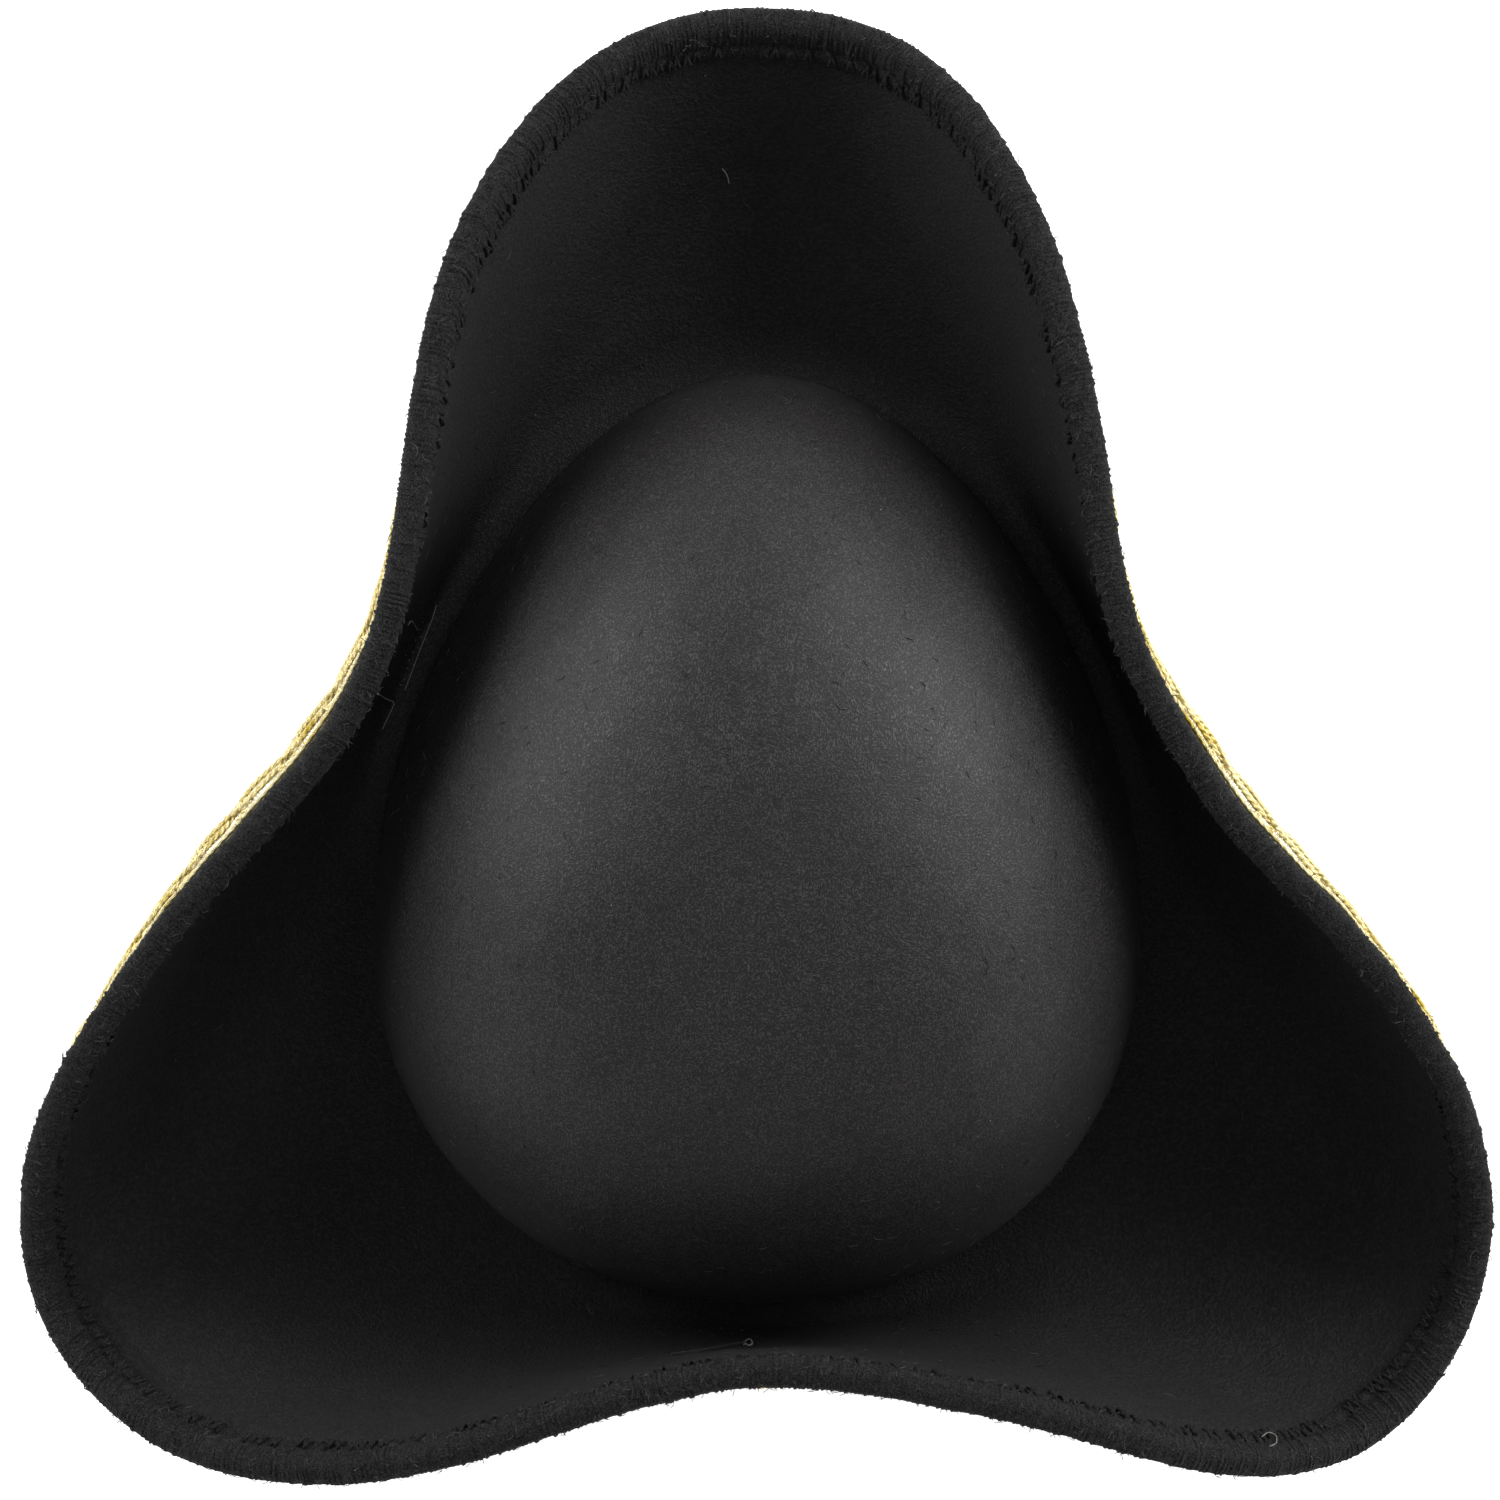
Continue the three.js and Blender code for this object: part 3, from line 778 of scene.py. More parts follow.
def gold_tape_material(colours):
    """Flat metallic tape: shiny foil strips side by side, crossed by fine picks, with painted shade in the
    grooves between strips.
    """

    def surface(place, uv):
        along, across, _ = uv("weave").split()
        strips = place.math("SINE", across * (2 * math.pi / 0.62))
        picks = place.math("SINE", along * (2 * math.pi / 0.9) + strips * 0.9)
        wear = place.noise(120.0, 4.6, 3.0).ramp(0.52, 0.75)
        shaded_groove = strips.ramp(-0.55, -1.0)
        tone = wear.mix(colours.tape, colours.gold)
        return {
            # The grooves between the strips are darkened with painted shade.
            "Base Color": (shaded_groove * 0.7).mix(tone, colours.gold_tarnish_and_shade),
            "Roughness": 0.2 + 0.15 * shaded_groove + 0.12 * wear,
            "Bump": (strips * 0.8 + picks * 0.25, 0.00009),
        }

    return new_material("Gold tape", surface, {"Metallic": 1.0, "Specular IOR Level": 0.5})


def thread_material(name, colour, painted_shade):
    """Two-ply sewing thread, darker in the grooves of its twist as painted shade."""

    def surface(place, uv):
        along, around, _ = uv("thread").split()
        twist = place.math("SINE", along * (2 * math.pi / 0.0008) + around * (4 * math.pi))
        grain = place.noise(1800.0, 5.5, 1.0)
        return {
            # The twist's grooves are darkened with painted shade.
            "Base Color": (twist.ramp(0.2, -0.9) * 0.8).mix(colour, painted_shade),
            "Roughness": 0.6 + 0.3 * grain,
            "Bump": (twist + grain * 0.4, 0.00005),
        }

    return new_material(name, surface, {"Specular IOR Level": 0.4, "Sheen Weight": 0.2})


def floor_material():
    """Plain white studio floor, slightly glowing like a lit table."""

    def surface(place, uv):
        tone = place.noise(3.0, 1.0, 2.0)
        return {
            "Base Color": tone.mix((0.90, 0.90, 0.90), (0.93, 0.93, 0.93)),
            "Roughness": 0.6 + 0.1 * tone,
        }

    return new_material("Studio floor", surface, {
        "Specular IOR Level": 0.2, "Emission Color": (1, 1, 1, 1), "Emission Strength": 0.9})


# Sizes and colours that a user would change


def length_property(label, text, default):
    return bpy.props.FloatProperty(name=label, description=text, default=default, min=0.0, unit="LENGTH")


def colour_property(label, text, default):
    return bpy.props.FloatVectorProperty(
        name=label, description=text, default=default, subtype="COLOR", size=3, min=0.0, max=1.0)


class FeltSizes(bpy.types.PropertyGroup):
    """Sizes of the crown and the brim."""

    crown_length: length_property("Crown length", "Outside, front to back, at the foot", 0.202)
    crown_width: length_property("Crown width", "Outside, side to side, at its widest", 0.167)
    crown_height: length_property("Crown height", "From the floor to the top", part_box("felt_body")[1].z)
    brim_width: length_property("Brim width", "Felt from the resting ring to the cut edge", 0.094)
    felt_thickness: length_property("Felt thickness", "Thickness of the blocked felt", 0.0025)
    unevenness: length_property("Unevenness", "Height of the felt's soft waves", 0.00045)
    sections: bpy.props.IntProperty(
        name="Sections", description="Sections of the felt round the crown", default=400)


class EdgeSizes(bpy.types.PropertyGroup):
    """Sizes of the overlocked edge."""

    rib_pitch: length_property("Rib pitch", "From one turn of yarn to the next", 0.00098)
    rib_radius: length_property("Rib radius", "Radius of the yarn over the edge", 0.00053)
    stitch_pitch: length_property("Stitch pitch", "From one V of the stitch row to the next", 0.0020)
    stitch_radius: length_property("Stitch radius", "Radius of the yarn in the stitch row", 0.00042)
    loop_pitch: length_property("Loop pitch", "From one loose loop at the outline to the next", 0.0036)


class BraidSizes(bpy.types.PropertyGroup):
    """Sizes of the gold braid."""

    top: length_property("Distance from the edge", "Felt between the cut edge and the braid", 0.0034)
    width: length_property("Width", "Across the widest part of the braid", 0.014)
    scallop: length_property("Scallop", "Rise of each scallop of the braid's edges", 0.0012)
    eye_pitch: length_property("Eye pitch", "From one eye to the next", 0.0165)
    eye_width: length_property("Eye width", "Between the crests of the chain", 0.006)
    plait_pitch: length_property("Plait pitch", "Length in which the plaited strands repeat", 0.0055)


class HatColours(bpy.types.PropertyGroup):
    """Colours of felt, yarn and gold."""

    felt: colour_property("Felt", "Ground of the felt", (0.0012, 0.0009, 0.0011))
    felt_green: colour_property("Felt, greenish", "Ground where the dye is greener", (0.0010, 0.0010, 0.0010))
    felt_fibre: colour_property("Felt fibre", "Fibres on the felt", (0.060, 0.0535, 0.058))
    felt_fibre_green: colour_property(
        "Felt fibre, greenish", "Fibres where the dye is greener", (0.050, 0.051, 0.051))
    wool: colour_property("Edge yarn", "Yarn of the edge", (0.0022, 0.0021, 0.0025))
    wool_green: colour_property(
        "Edge yarn, greenish", "Yarn of the edge where it is greener", (0.0023, 0.0030, 0.0026))
    wool_fibre: colour_property("Edge fibre", "Fibres on the yarn", (0.074, 0.074, 0.074))
    gold: colour_property("Gold", "Metallic thread", (1.0, 0.89, 0.52))
    # Dark gold is both real tarnish and the painted shade laid into the hollows of the threads and the tape.
    gold_tarnish_and_shade: colour_property("Dark gold", "Hollows and tarnish", (0.66, 0.50, 0.08))
    tape: colour_property("Tape", "Flat metallic tape", (1.0, 0.97, 0.86))


# Operators


class HatOperator:
    """What the hat's operators share."""

    bl_options = {"REGISTER", "UNDO"}

    def execute(self, context):
        self.make(context, hat_form(context), context.scene.tricorn_colours)
        return {"FINISHED"}


class TRICORN_OT_felt(HatOperator, bpy.types.Operator):
    """Crown and brim: one felt with an upper and a lower skin that meet along the cut edge"""

    bl_idname = "tricorn.felt"
    bl_label = "Blocked felt"

    def make(self, context, form, colours):
        sizes = context.scene.tricorn_felt
        sections = sizes.sections
        turns = form.turns_at(form.length * np.arange(sections) / sections)
        rows = self.rows(form, turns)
        points = form.points(turns, rows)
        normals = form.normals(turns, rows, points)
        lift = form.relief(points, turns, rows["edge"], rows["run"]) * rows["loose"]
        points = points + normals * lift[..., None]
        count = points.shape[1]
        skins = [points + normals * form.half_felt, points - normals * form.half_felt]
        low, high = skins[1].min((0, 1)), skins[1].max((0, 1))
        below, above = skins[0].min((0, 1)), skins[0].max((0, 1))
        middle = (np.minimum(low, below) + np.maximum(high, above)) / 2
        box = [np.array(corner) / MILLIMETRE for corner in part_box("felt_body")]
        form.shift[:2] = (box[0] + box[1])[:2] / 2 - middle[:2]
        form.make_table()
        top = [form.crown_height, form.crown_height - 2 * form.half_felt]
        vertices = []
        for skin, pole in zip(skins, top):
            vertices.append([[0.0, 0.0, pole]])
            vertices.append(skin.reshape(-1, 3))
        vertices = np.concatenate(vertices) + form.shift
        i, j = np.meshgrid(np.arange(sections), np.arange(count - 1), indexing="ij")
        after = (i + 1) % sections
        second = 1 + sections * count

        def at(skin, a, b):
            return skin * second + 1 + a * count + b

        grids = [np.stack([at(0, i, j), at(0, i, j + 1), at(0, after, j + 1), at(0, after, j)], -1),
                 np.stack([at(1, i, j), at(1, after, j), at(1, after, j + 1), at(1, i, j + 1)], -1)]
        faces = [face for grid in grids for face in grid.reshape(-1, 4).tolist()]
        for a in range(sections):
            b = (a + 1) % sections
            faces.append([at(0, a, count - 1), at(1, a, count - 1), at(1, b, count - 1), at(0, b, count - 1)])
            faces.append([0, at(0, a, 0), at(0, b, 0)])
            faces.append([second, at(1, b, 0), at(1, a, 0)])
        obj = new_object("blocked_felt", vertices, faces, material=felt_material(colours))
        part_of_hat(obj, "felt_body")

    def rows(self, form, turns):
        """Rows from near the crown's top to the cut edge."""
        crown, bend, brim, near_edge = 40, 5, 26, 26
        wall = form.half_felt + BREAK_RADIUS
        rise = form.crown_height - form.half_felt - wall
        power = 2 / CROWN_FULLNESS
        angle = (1 - (np.arange(crown) + 0.6) / (crown - 0.4)) * math.pi / 2
        angle[-1] = 0.0
        cos, sin = np.cos(angle), np.maximum(np.sin(angle), 1e-9)
        slope = np.stack([power * cos ** (power - 1) * sin,
                          -rise / form.half_length * power * sin ** (power - 1) * cos], -1)
        slope[-1] = (0, -1)
        slope /= np.linalg.norm(slope, axis=1, keepdims=True)
        turn = np.arange(1, bend + 1) / bend * math.pi / 2
        upper = {
            "share": np.concatenate([cos ** power, np.ones(bend)]),
            "out": np.concatenate([np.zeros(crown), BREAK_RADIUS * (1 - np.cos(turn))]),
            "height": np.concatenate([wall + rise * np.sin(angle) ** power,
                                      form.half_felt + BREAK_RADIUS * (1 - np.sin(turn))]),
            "slope": np.concatenate([slope, np.stack([np.sin(turn), -np.cos(turn)], -1)]),
        }
        felt = form.brim_width * form.width(turns)
        close = 22.0
        inner = form.brim(turns, np.linspace(0, 1, brim, endpoint=False) * (1 - close / felt.mean()), True)
        outer = form.brim(turns, np.linspace(close, 0, near_edge))
        total = len(turns)

        def spread(values):
            return np.broadcast_to(values, (total, *values.shape))

        def stack(key):
            return np.concatenate([spread(upper[key]), inner[key], outer[key]], 1)

        share = np.concatenate([spread(upper["share"]), np.ones((total, brim + near_edge))], 1)
        run = np.concatenate([spread(np.zeros(crown + bend)), inner["run"], outer["run"]], 1)
        # the hat stands on its ring, so the felt keeps its exact place there
        loose = np.concatenate([
            spread(np.minimum(1, np.arange(crown)[::-1] / 12)), np.zeros((total, bend)),
            np.clip((run[:, crown + bend:] - 2) / 16, 0, 1)], 1)
        return {"share": share, "out": stack("out"), "height": stack("height"), "slope": stack("slope"),
                "run": run, "edge": felt[:, None] - run, "loose": loose}


class TRICORN_OT_fibres(HatOperator, bpy.types.Operator):
    """Loose fibres that lie on the felt and stand up from it"""

    bl_idname = "tricorn.fibres"
    bl_label = "Felt fibres"

    # height in millimetres above which the felt has loose fibres
    LOWEST = 2.5

    def make(self, context, form, colours):
        felt = bpy.data.objects["blocked_felt"]
        material = fibre_material("Felt fibre", colours.felt, colours.felt_fibre)
        obj = faces_above("felt_fibres", felt, self.LOWEST)
        grown(obj, tree_named(fibre_tree), {
            "Density": 26000.0, "Fibre length": 0.0026, "Fibre radius": 0.00006, "Lift": 0.35,
            "Size spread": 0.45, "Seed": 5, "Material": material})
        part_of_hat(obj)


class TRICORN_OT_edge(HatOperator, bpy.types.Operator):
    """Overlocked edge: a padded woollen band round the cut edge with yarn wound over it"""

    bl_idname = "tricorn.edge"
    bl_label = "Overlocked edge"

    # distance from the cut edge and height off the felt's middle, from the inside over the edge
    PAD = ((9.0, 1.5), (9.05, 1.9), (8.5, 2.35), (7.2, 2.55), (6.2, 2.45), (5.3, 1.9), (4.6, 2.3), (3.6, 2.9),
           (1.8, 3.05), (0.2, 2.9), (-1.05, 2.15), (-1.62, 0.9), (-1.62, -0.9), (-1.05, -2.15), (0.2, -2.8),
           (1.6, -2.8), (2.6, -2.4), (3.0, -1.5), (0.0, -1.45), (-0.25, -0.6), (-0.25, 0.6), (0.0, 1.45))
    YARN = ((4.7, 1.95), (4.1, 2.35), (3.1, 2.65), (1.7, 2.75), (0.4, 2.6), (-0.75, 1.9), (-1.3, 0.75),
            (-1.3, -0.75), (-0.75, -1.9), (0.4, -2.55), (1.8, -2.55), (2.8, -2.1))

    def make(self, context, form, colours):
        sizes = context.scene.tricorn_edge
        wool = wool_material(colours)

        def outline(lengths):
            distance, height = np.array(self.PAD[::-1]).T
            return np.tile(distance, (len(lengths), 1)), np.tile(height, (len(lengths), 1))

        pad = band("edge_pad", form, outline, form.eyes * 12, wool, "thread")
        path = [(0.0, distance, height) for distance, height in self.YARN]
        yarn = spun_round("edge_yarn", form, path, wool, sizes.rib_pitch, sizes.rib_radius, 5,
                          stray=0.00016, tilt=0.12, spread=0.05, seed=3)
        roll = joined("edge_roll", [pad, yarn])
        part_of_hat(roll, "edge_binding")


class TRICORN_OT_stitches(HatOperator, bpy.types.Operator):
    """Row of slanting bars where the overlock yarn holds the felt"""

    bl_idname = "tricorn.stitches"
    bl_label = "Stitch row"

    # lengths along the brim, distances from its edge and heights off its middle, in millimetres
    BAR = ((-0.95, 8.9, 1.9), (-0.8, 8.5, 2.5), (-0.5, 7.6, 2.75), (-0.2, 6.5, 2.7), (0.0, 5.8, 2.3),
           (0.2, 6.5, 2.7), (0.5, 7.6, 2.75), (0.8, 8.5, 2.5), (0.95, 8.9, 1.9))
    LOOP = ((-0.5, -1.2, 0.3), (-0.25, -1.9, 0.25), (0.1, -2.5, 0.1), (0.55, -2.75, 0.0), (0.85, -2.45, -0.1))
    # radius of the loops' yarn in metres
    LOOP_RADIUS = 0.00014

    def make(self, context, form, colours):
        sizes = context.scene.tricorn_edge
        wool = bpy.data.materials["Black wool yarn"]
        row = spun_round("edge_stitches", form, self.BAR, wool, sizes.stitch_pitch, sizes.stitch_radius, 6,
                         stray=0.00016, tilt=0.16, spread=0.06, seed=8)
        ends = spun_round("loop_ends", form, self.LOOP, wool, sizes.loop_pitch, self.LOOP_RADIUS, 4,
                          stray=0.0005, tilt=0.5, spread=0.12, seed=12)
        part_of_hat(joined("edge_stitches", [row, ends]))


class TRICORN_OT_edge_fuzz(HatOperator, bpy.types.Operator):
    """Woolly fuzz that stands off the overlocked edge"""

    bl_idname = "tricorn.edge_fuzz"
    bl_label = "Edge fuzz"

    def make(self, context, form, colours):
        roll = bpy.data.objects["edge_roll"]
        material = fibre_material("Edge fibre", colours.wool_green, colours.wool_fibre)
        obj = bpy.data.objects.new("edge_fuzz", roll.data.copy())
        context.scene.collection.objects.link(obj)
        obj.data.materials.clear()
        grown(obj, tree_named(fibre_tree), {
            "Density": 112000.0, "Fibre length": 0.0021, "Fibre radius": 0.00006, "Lift": 0.9,
            "Size spread": 0.5, "Seed": 9, "Material": material})
        part_of_hat(obj)


class TRICORN_OT_tape(HatOperator, bpy.types.Operator):
    """Flat tape of the gold braid, with scalloped edges"""

    bl_idname = "tricorn.tape"
    bl_label = "Braid tape"

    # gap under the tape, then the profile of its outer face: shares of the half width, and heights off
    # its inner face; lengths in millimetres
    GAP = 0.35
    ACROSS = (1.0, 0.985, 0.93, 0.8, 0.62, 0.44, 0.26, 0.09,
              -0.09, -0.26, -0.44, -0.62, -0.8, -0.93, -0.985, -1.0)
    LIFT = (0.0, 0.45, 0.72, 0.78, 0.8, 0.78, 0.82, 0.86, 0.86, 0.82, 0.78, 0.8, 0.78, 0.72, 0.45, 0.0)

    def make(self, context, form, colours):
        sizes = context.scene.tricorn_braid
        near = form.half_felt + self.GAP
        scallop = sizes.scallop / MILLIMETRE

        def outline(lengths):
            half = form.braid_width / 2 - scallop * np.cos(math.pi * lengths / form.pitch) ** 2
            across = np.concatenate([self.ACROSS, np.linspace(-0.9, 0.9, 5)])
            lift = np.concatenate([self.LIFT, np.zeros(5)])
            distance = form.braid_middle + half[:, None] * across[None, :]
            swell = 1 + EYE_SWELL * np.sin(math.pi * lengths / form.pitch) ** 2
            return distance, -(near + lift[None, :] * swell[:, None])

        tape = band("braid_tape", form, outline, form.eyes * 16, gold_tape_material(colours))
        part_of_hat(tape, "gold_braid")


# The chain, in millimetres: height off the felt, half of the step by which one bundle rises over the
# other where they cross, lift that swells round the eyes, and the strands' radius and how far each
# swings aside and up and down in its plait.
CHAIN_HEIGHT = 1.5
CROSSING_RISE = 0.34
CHAIN_LIFT = 0.86
STRAND_RADIUS = 0.36
STRAND_ASIDE = 0.80
STRAND_RISE = 0.22


def braid_paths(form, sizes):
    """Flat paths of the plaited chain, three strands to each of its two bundles."""
    steps = 36
    x = form.pitch * np.arange(form.eyes * steps + 1) / steps
    phase = math.pi * x / form.pitch
    crest = sizes.eye_width / MILLIMETRE / 2
    plaits = round(form.pitch * MILLIMETRE / sizes.plait_pitch)
    paths = []
    for side in (1, -1):
        middle = form.braid_middle + side * crest * np.sin(phase)
        slope = side * crest * math.pi / form.pitch * np.cos(phase)
        tilt = 1 / np.sqrt(1 + slope**2)
        crossing = CROSSING_RISE * (1 + side * np.cos(phase)) * np.cos(phase) ** 2
        floor = -(form.half_felt + CHAIN_HEIGHT) - crossing
        floor -= CHAIN_LIFT * EYE_SWELL * np.sin(phase) ** 2
        for strand in range(3):
            twist = 2 * math.pi * (plaits * x / form.pitch + strand / 3)
            aside = STRAND_ASIDE * np.sin(twist)
            height = floor - STRAND_RISE * np.sin(2 * twist)
            paths.append(np.stack([x - aside * slope * tilt, middle + aside * tilt, height], -1))
    return paths


def laid_threads(name, form, paths, radius, sides, material, closed=False):
    """Threads swept along flat paths that are first laid on the brim."""
    vertices, edges = [], []
    for path in paths:
        start = len(vertices)
        vertices.extend(form.wrap(np.asarray(path)).tolist())
        edges.extend((k, k + 1) for k in range(start, len(vertices) - 1))
        if closed:
            edges.append((len(vertices) - 1, start))
    obj = new_object(name, vertices, edges=edges)
    return spun(obj, material, radius * MILLIMETRE, sides)


class TRICORN_OT_chain(HatOperator, bpy.types.Operator):
    """Raised chain of the braid: two plaited bundles that cross between its eyes"""

    bl_idname = "tricorn.chain"
    bl_label = "Braid chain"

    def make(self, context, form, colours):
        gold = gold_thread_material(colours)
        paths = braid_paths(form, context.scene.tricorn_braid)
        part_of_hat(laid_threads("braid_chain", form, paths, STRAND_RADIUS, 5, gold))


class TRICORN_OT_cords(HatOperator, bpy.types.Operator):
    """Cords along the scalloped edges of the braid and the small curls inside them"""

    bl_idname = "tricorn.cords"
    bl_label = "Braid cords and curls"

    # cords: distance from the tape's outline, height off the felt, swell round the eyes and radius
    CORD_INSET = 0.35
    CORD_HEIGHT = 1.2
    CORD_LIFT = 0.5
    CORD_RADIUS = 0.48
    # curls of each repeat: length along and distance from the braid's middle in millimetres, and seed
    CURLS = ((0.0, 4.25, 4), (-1.9, 4.2, 5), (1.9, 4.2, 6), (0.0, -4.25, 6), (-1.9, -4.2, 7), (1.9, -4.2, 8))
    CURL_RADIUS = 0.78
    CURL_HEIGHT = 1.42
    CURL_THREAD = 0.27

    def make(self, context, form, colours):
        gold = bpy.data.materials["Gold thread"]
        scallop = context.scene.tricorn_braid.scallop / MILLIMETRE
        steps = 12
        x = form.pitch * np.arange(form.eyes * steps) / steps
        phase = math.pi * x / form.pitch
        half = form.braid_width / 2 - self.CORD_INSET - scallop * np.cos(phase) ** 2
        height = -(form.half_felt + self.CORD_HEIGHT) - self.CORD_LIFT * EYE_SWELL * np.sin(phase) ** 2
        paths = [np.stack([x, form.braid_middle + side * half, height], -1) for side in (1, -1)]
        cords = laid_threads("braid_cords", form, paths, self.CORD_RADIUS, 7, gold, closed=True)
        ring = 10
        angle = 2 * math.pi * np.arange(ring) / ring
        curls = []
        for along, across, seed in self.CURLS:
            path = np.stack([along + self.CURL_RADIUS * np.cos(angle),
                             form.braid_middle + across + self.CURL_RADIUS * np.sin(angle),
                             np.full(ring, -(form.half_felt + self.CURL_HEIGHT))], -1)
            curl = new_object("curl", path, edges=[(k, (k + 1) % ring) for k in range(ring)])
            spun(curl, gold, self.CURL_THREAD * MILLIMETRE, 5, form.eyes, form.pitch * MILLIMETRE,
                 stray=0.00012, spread=0.08, seed=seed)
            set_mesh_points(curl, form.wrap(mesh_points(curl)))
            curls.append(curl)
        part_of_hat(joined("braid_cords", [cords, *curls]))


# The view from above: the camera's place in metres, and the view's size and the camera's focal length,
# both counted in the view's own columns.
CAMERA_PLACE = Vector((0.0013, 0.0021, 1.1))
VIEW_SIZE = 1500.0
VIEW_FOCUS = 4990.0


def seen_point(tree, column, line):
    """Place and direction of the surface that shows at a point of the view."""
    middle = VIEW_SIZE / 2
    ray = Vector(((middle - column) / VIEW_FOCUS, (line - middle) / VIEW_FOCUS, -1.0)).normalized()
    place, normal, _, _ = tree.ray_cast(CAMERA_PLACE, ray)
    if place is None:
        raise RuntimeError(f"nothing shows at {column}, {line}")
    return np.array(place) / MILLIMETRE, np.array(normal)


class TRICORN_OT_tacks(HatOperator, bpy.types.Operator):
    """Tacking threads that hold the flaps, a black thread under the back tack as its painted shadow, and the
    lint that has settled on the felt
    """

    bl_idname = "tricorn.tacks"
    bl_label = "Tacks and lint"

    # paths as seen from above, in the view's columns and lines, with the thread's radius in millimetres
    PALE = (
        (((436, 605), (433, 616), (427, 633), (420, 650), (412, 672), (405, 690)), 0.11),
        (((407, 625), (411, 619), (417, 630)), 0.10),
        (((377, 693), (386, 699), (395, 702), (389, 714), (382, 729)), 0.10),
        (((681, 1353), (700, 1351), (722, 1347), (742, 1344)), 0.10),
        (((744, 1346), (746, 1341), (751, 1340), (753, 1345), (748, 1347), (744, 1343)), 0.17),
        (((722, 168), (727, 174), (729, 183)), 0.12),
        (((1262, 1437), (1268, 1432), (1276, 1436), (1277, 1444), (1270, 1447)), 0.12),
    )
    # A black thread just below the pale back tack: painted shadow, not a real thread.
    PAINTED_SHADOW = ((((672, 1356), (700, 1352), (722, 1348), (745, 1344)), 0.26),)
    SPECKS = (
        (422, 622), (419, 629), (421, 637), (415, 640), (418, 648), (412, 652), (409, 660), (414, 664),
        (407, 668), (410, 675), (404, 679), (400, 685), (426, 640), (405, 655), (700, 1332), (712, 1337),
        (721, 1329), (733, 1335), (742, 1331), (757, 1337), (535, 415), (355, 1470), (705, 75), (175, 1060),
        (880, 510), (612, 905), (990, 1120), (1115, 668), (1118, 676))
    # gap under a thread, rise of its middle and of the lint over the felt, in millimetres
    THREAD_GAP = 0.12
    THREAD_RISE = 0.25
    LINT_RISE = 0.2

    def make(self, context, form, colours):
        threads, vertices, faces = [], [], []
        for name in ("blocked_felt", "edge_roll", "edge_stitches"):
            mesh = bpy.data.objects[name].data
            start = len(vertices)
            vertices.extend(vertex.co for vertex in mesh.vertices)
            faces.extend([start + k for k in face.vertices] for face in mesh.polygons)
        seen = BVHTree.FromPolygons(vertices, faces)
        pale = thread_material("Pale thread", (0.34, 0.33, 0.31), (0.14, 0.13, 0.12))
        # material of the back tack's painted shadow
        painted_shade = thread_material("Painted shadow thread", (0.010, 0.011, 0.016), (0.003, 0.003, 0.005))
        for name, group, material in (("tack_pale", self.PALE, pale), ("tack_painted_shadow", self.PAINTED_SHADOW, painted_shade)):
            for path, radius in group:
                threads.append(self.thread(name, seen, path, radius, material))
        threads.append(self.specks(seen, pale))
        part_of_hat(joined("tacks_and_lint", threads))

    def thread(self, name, seen, path, radius, material):
        """One thread that lies on what shows under its path."""
        corners = np.array(path, float)
        steps = 6 * (len(corners) - 1)
        at = np.linspace(0, len(corners) - 1, steps + 1)
        smooth = np.stack([np.interp(at, np.arange(len(corners)), corners[:, k]) for k in (0, 1)], -1)
        for _ in range(3):
            smooth[1:-1] = (smooth[:-2] + smooth[1:-1] * 2 + smooth[2:]) / 4
        places, normals = zip(*(seen_point(seen, *point) for point in smooth))
        places = np.array(places) + np.array(normals) * (radius + self.THREAD_GAP)
        for _ in range(2):
            places[1:-1] = (places[:-2] + places[1:-1] * 2 + places[2:]) / 4
        places[:, 2] += self.THREAD_RISE * np.sin(np.linspace(0, math.pi, len(places)))
        obj = new_object(name, places, edges=open_edges(len(places)))
        return spun(obj, material, radius * MILLIMETRE, 7)

    def specks(self, seen, material):
        """Short curled bits of lint."""
        rng = np.random.default_rng(12)
        vertices, edges = [], []
        for point in self.SPECKS:
            place, normal = seen_point(seen, *point)
            way = np.cross(normal, rng.normal(size=3))
            way /= np.linalg.norm(way)
            side = np.cross(normal, way)
            size = rng.uniform(0.12, 0.26)
            start = len(vertices)
            for t in np.linspace(-1, 1, 5):
                bend = side * size * 0.5 * (1 - t * t)
                vertices.append(place + normal * self.LINT_RISE + way * size * t + bend)
            edges.extend((start + k, start + k + 1) for k in range(4))
        return spun(new_object("lint", vertices, edges=edges), material, 0.00008, 5)


# Softboxes round the hat: turn from +X towards +Y and rise above the floor in degrees, and power in watts.
SOFTBOXES = (
    ("Softbox left", 327.0, 31.0, 4.0),
    ("Softbox low left", 334.0, 17.0, 3.4),
    ("Softbox right", 212.0, 31.0, 5.6),
    ("Softbox low right", 199.0, 17.0, 3.8),
    ("Softbox front right", 240.0, 40.0, 2.0),
    ("Softbox back left", 45.0, 24.0, 0.6),
    ("Softbox high back", 90.0, 60.0, 0.6),
)
# The point that they face, how far from it they stand and how wide they are, in metres.
SOFTBOX_TARGET = Vector((0.0, 0.0, 0.06))
SOFTBOX_DISTANCE = 1.1
SOFTBOX_SIZE = 0.42
WORLD_STRENGTH = 0.3

# The floor's reach to each side and its depth under the hat in millimetres, and its cells along a side.
FLOOR_REACH = 2400.0
FLOOR_DEPTH = 0.05
FLOOR_CELLS = 8


def area_light(name, turn, rise, power):
    """Square soft light that faces the middle of the hat."""
    light = bpy.data.lights.new(name, "AREA")
    light.shape = "SQUARE"
    light.size = SOFTBOX_SIZE
    light.energy = power
    obj = bpy.data.objects.new(name, light)
    away = Vector((math.cos(turn) * math.cos(rise), math.sin(turn) * math.cos(rise), math.sin(rise)))
    obj.location = SOFTBOX_TARGET + away * SOFTBOX_DISTANCE
    obj.rotation_euler = away.to_track_quat("Z", "Y").to_euler()
    bpy.context.scene.collection.objects.link(obj)


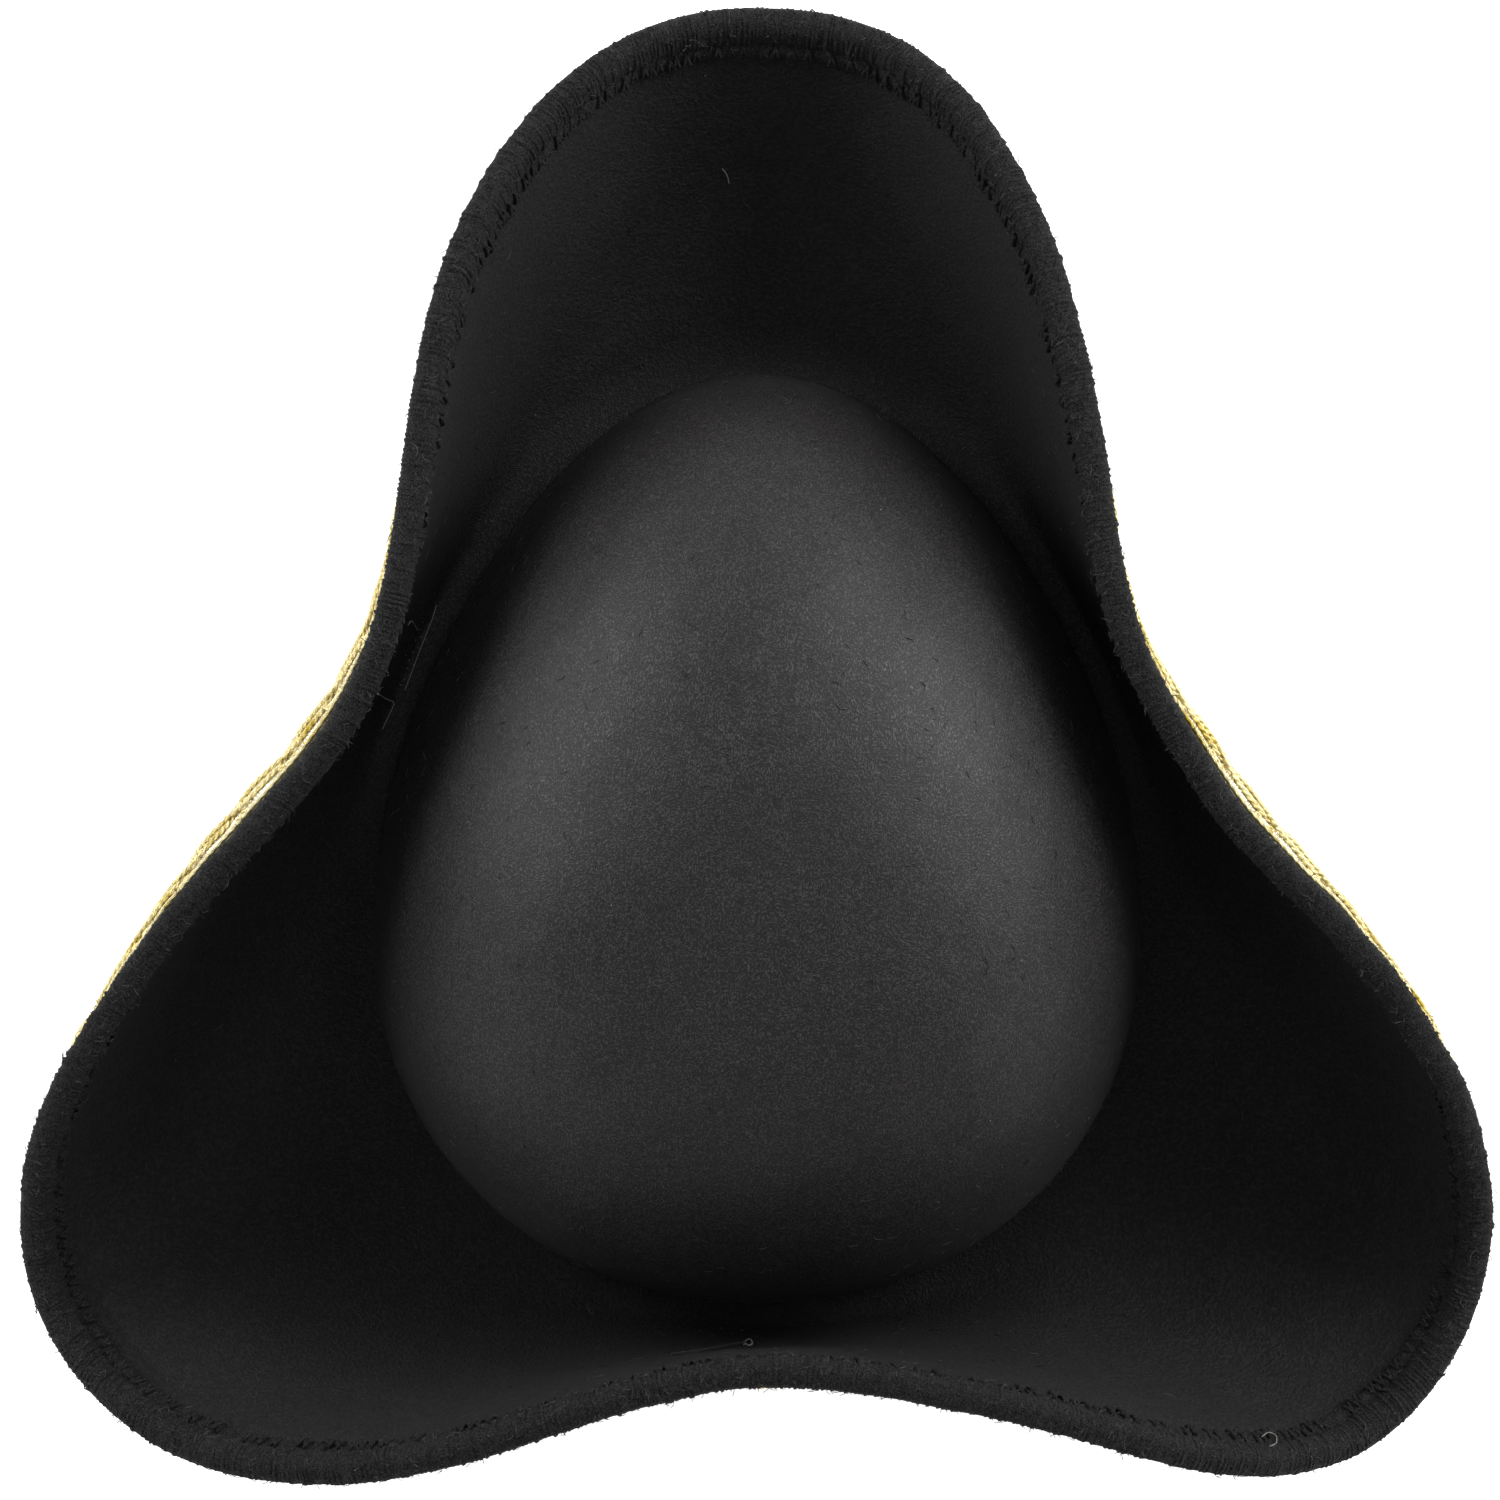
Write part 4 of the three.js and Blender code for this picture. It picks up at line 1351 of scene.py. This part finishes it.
class TRICORN_OT_stage(HatOperator, bpy.types.Operator):
    """Plain pale floor, soft studio light and the camera straight above"""

    bl_idname = "tricorn.stage"
    bl_label = "Stage"

    def make(self, context, form, colours):
        scene = context.scene
        row = FLOOR_CELLS + 1
        steps = np.linspace(-FLOOR_REACH, FLOOR_REACH, row)
        grid = [(x, y, -FLOOR_DEPTH) for y in steps for x in steps]
        faces = [(j * row + i, j * row + i + 1, (j + 1) * row + i + 1, (j + 1) * row + i)
                 for j in range(FLOOR_CELLS) for i in range(FLOOR_CELLS)]
        floor = new_object("studio_floor", grid, faces, material=floor_material())
        for name, turn, rise, power in SOFTBOXES:
            area_light(name, math.radians(turn), math.radians(rise), power)
        world = bpy.data.worlds.new("Studio")
        world.use_nodes = True
        background = world.node_tree.nodes["Background"].inputs
        background["Color"].default_value = (1.0, 1.0, 1.0, 1.0)
        background["Strength"].default_value = WORLD_STRENGTH
        scene.world = world
        scene.view_settings.view_transform = "Standard"
        camera = bpy.data.cameras.new("Camera")
        camera.sensor_width = 36.0
        camera.lens = camera.sensor_width * (VIEW_FOCUS / VIEW_SIZE)
        camera.clip_start = 0.01
        view = bpy.data.objects.new("Camera", camera)
        view.location = CAMERA_PLACE
        view.rotation_euler = (0.0, 0.0, math.pi)
        scene.collection.objects.link(view)
        scene.camera = view


OPERATORS = (
    TRICORN_OT_felt, TRICORN_OT_fibres, TRICORN_OT_edge, TRICORN_OT_stitches, TRICORN_OT_edge_fuzz,
    TRICORN_OT_tape, TRICORN_OT_chain, TRICORN_OT_cords, TRICORN_OT_tacks, TRICORN_OT_stage,
)


class TRICORN_PT_panel(bpy.types.Panel):
    """Sizes, colours and steps of the hat"""

    bl_idname = "TRICORN_PT_panel"
    bl_label = "Tricorn hat"
    bl_space_type = "VIEW_3D"
    bl_region_type = "UI"
    bl_category = "Tricorn"

    def draw(self, context):
        layout = self.layout
        for group_name in GROUPS:
            group = getattr(context.scene, group_name)
            box = layout.box()
            box.label(text=group.bl_rna.name)
            for name in group.__annotations__:
                box.prop(group, name)
        for operator in OPERATORS:
            layout.operator(operator.bl_idname)


GROUPS = {
    "tricorn_felt": FeltSizes,
    "tricorn_edge": EdgeSizes,
    "tricorn_braid": BraidSizes,
    "tricorn_colours": HatColours,
}


def register():
    for group_name, group in GROUPS.items():
        bpy.utils.register_class(group)
        setattr(bpy.types.Scene, group_name, bpy.props.PointerProperty(type=group))
    for operator in OPERATORS:
        bpy.utils.register_class(operator)
    bpy.utils.register_class(TRICORN_PT_panel)


def unregister():
    bpy.utils.unregister_class(TRICORN_PT_panel)
    for operator in reversed(OPERATORS):
        bpy.utils.unregister_class(operator)
    for group_name, group in reversed(GROUPS.items()):
        delattr(bpy.types.Scene, group_name)
        bpy.utils.unregister_class(group)


def main():
    register()
    for operator in OPERATORS:
        module, name = operator.bl_idname.split(".")
        getattr(getattr(bpy.ops, module), name)()


if __name__ == "__main__":
    main()
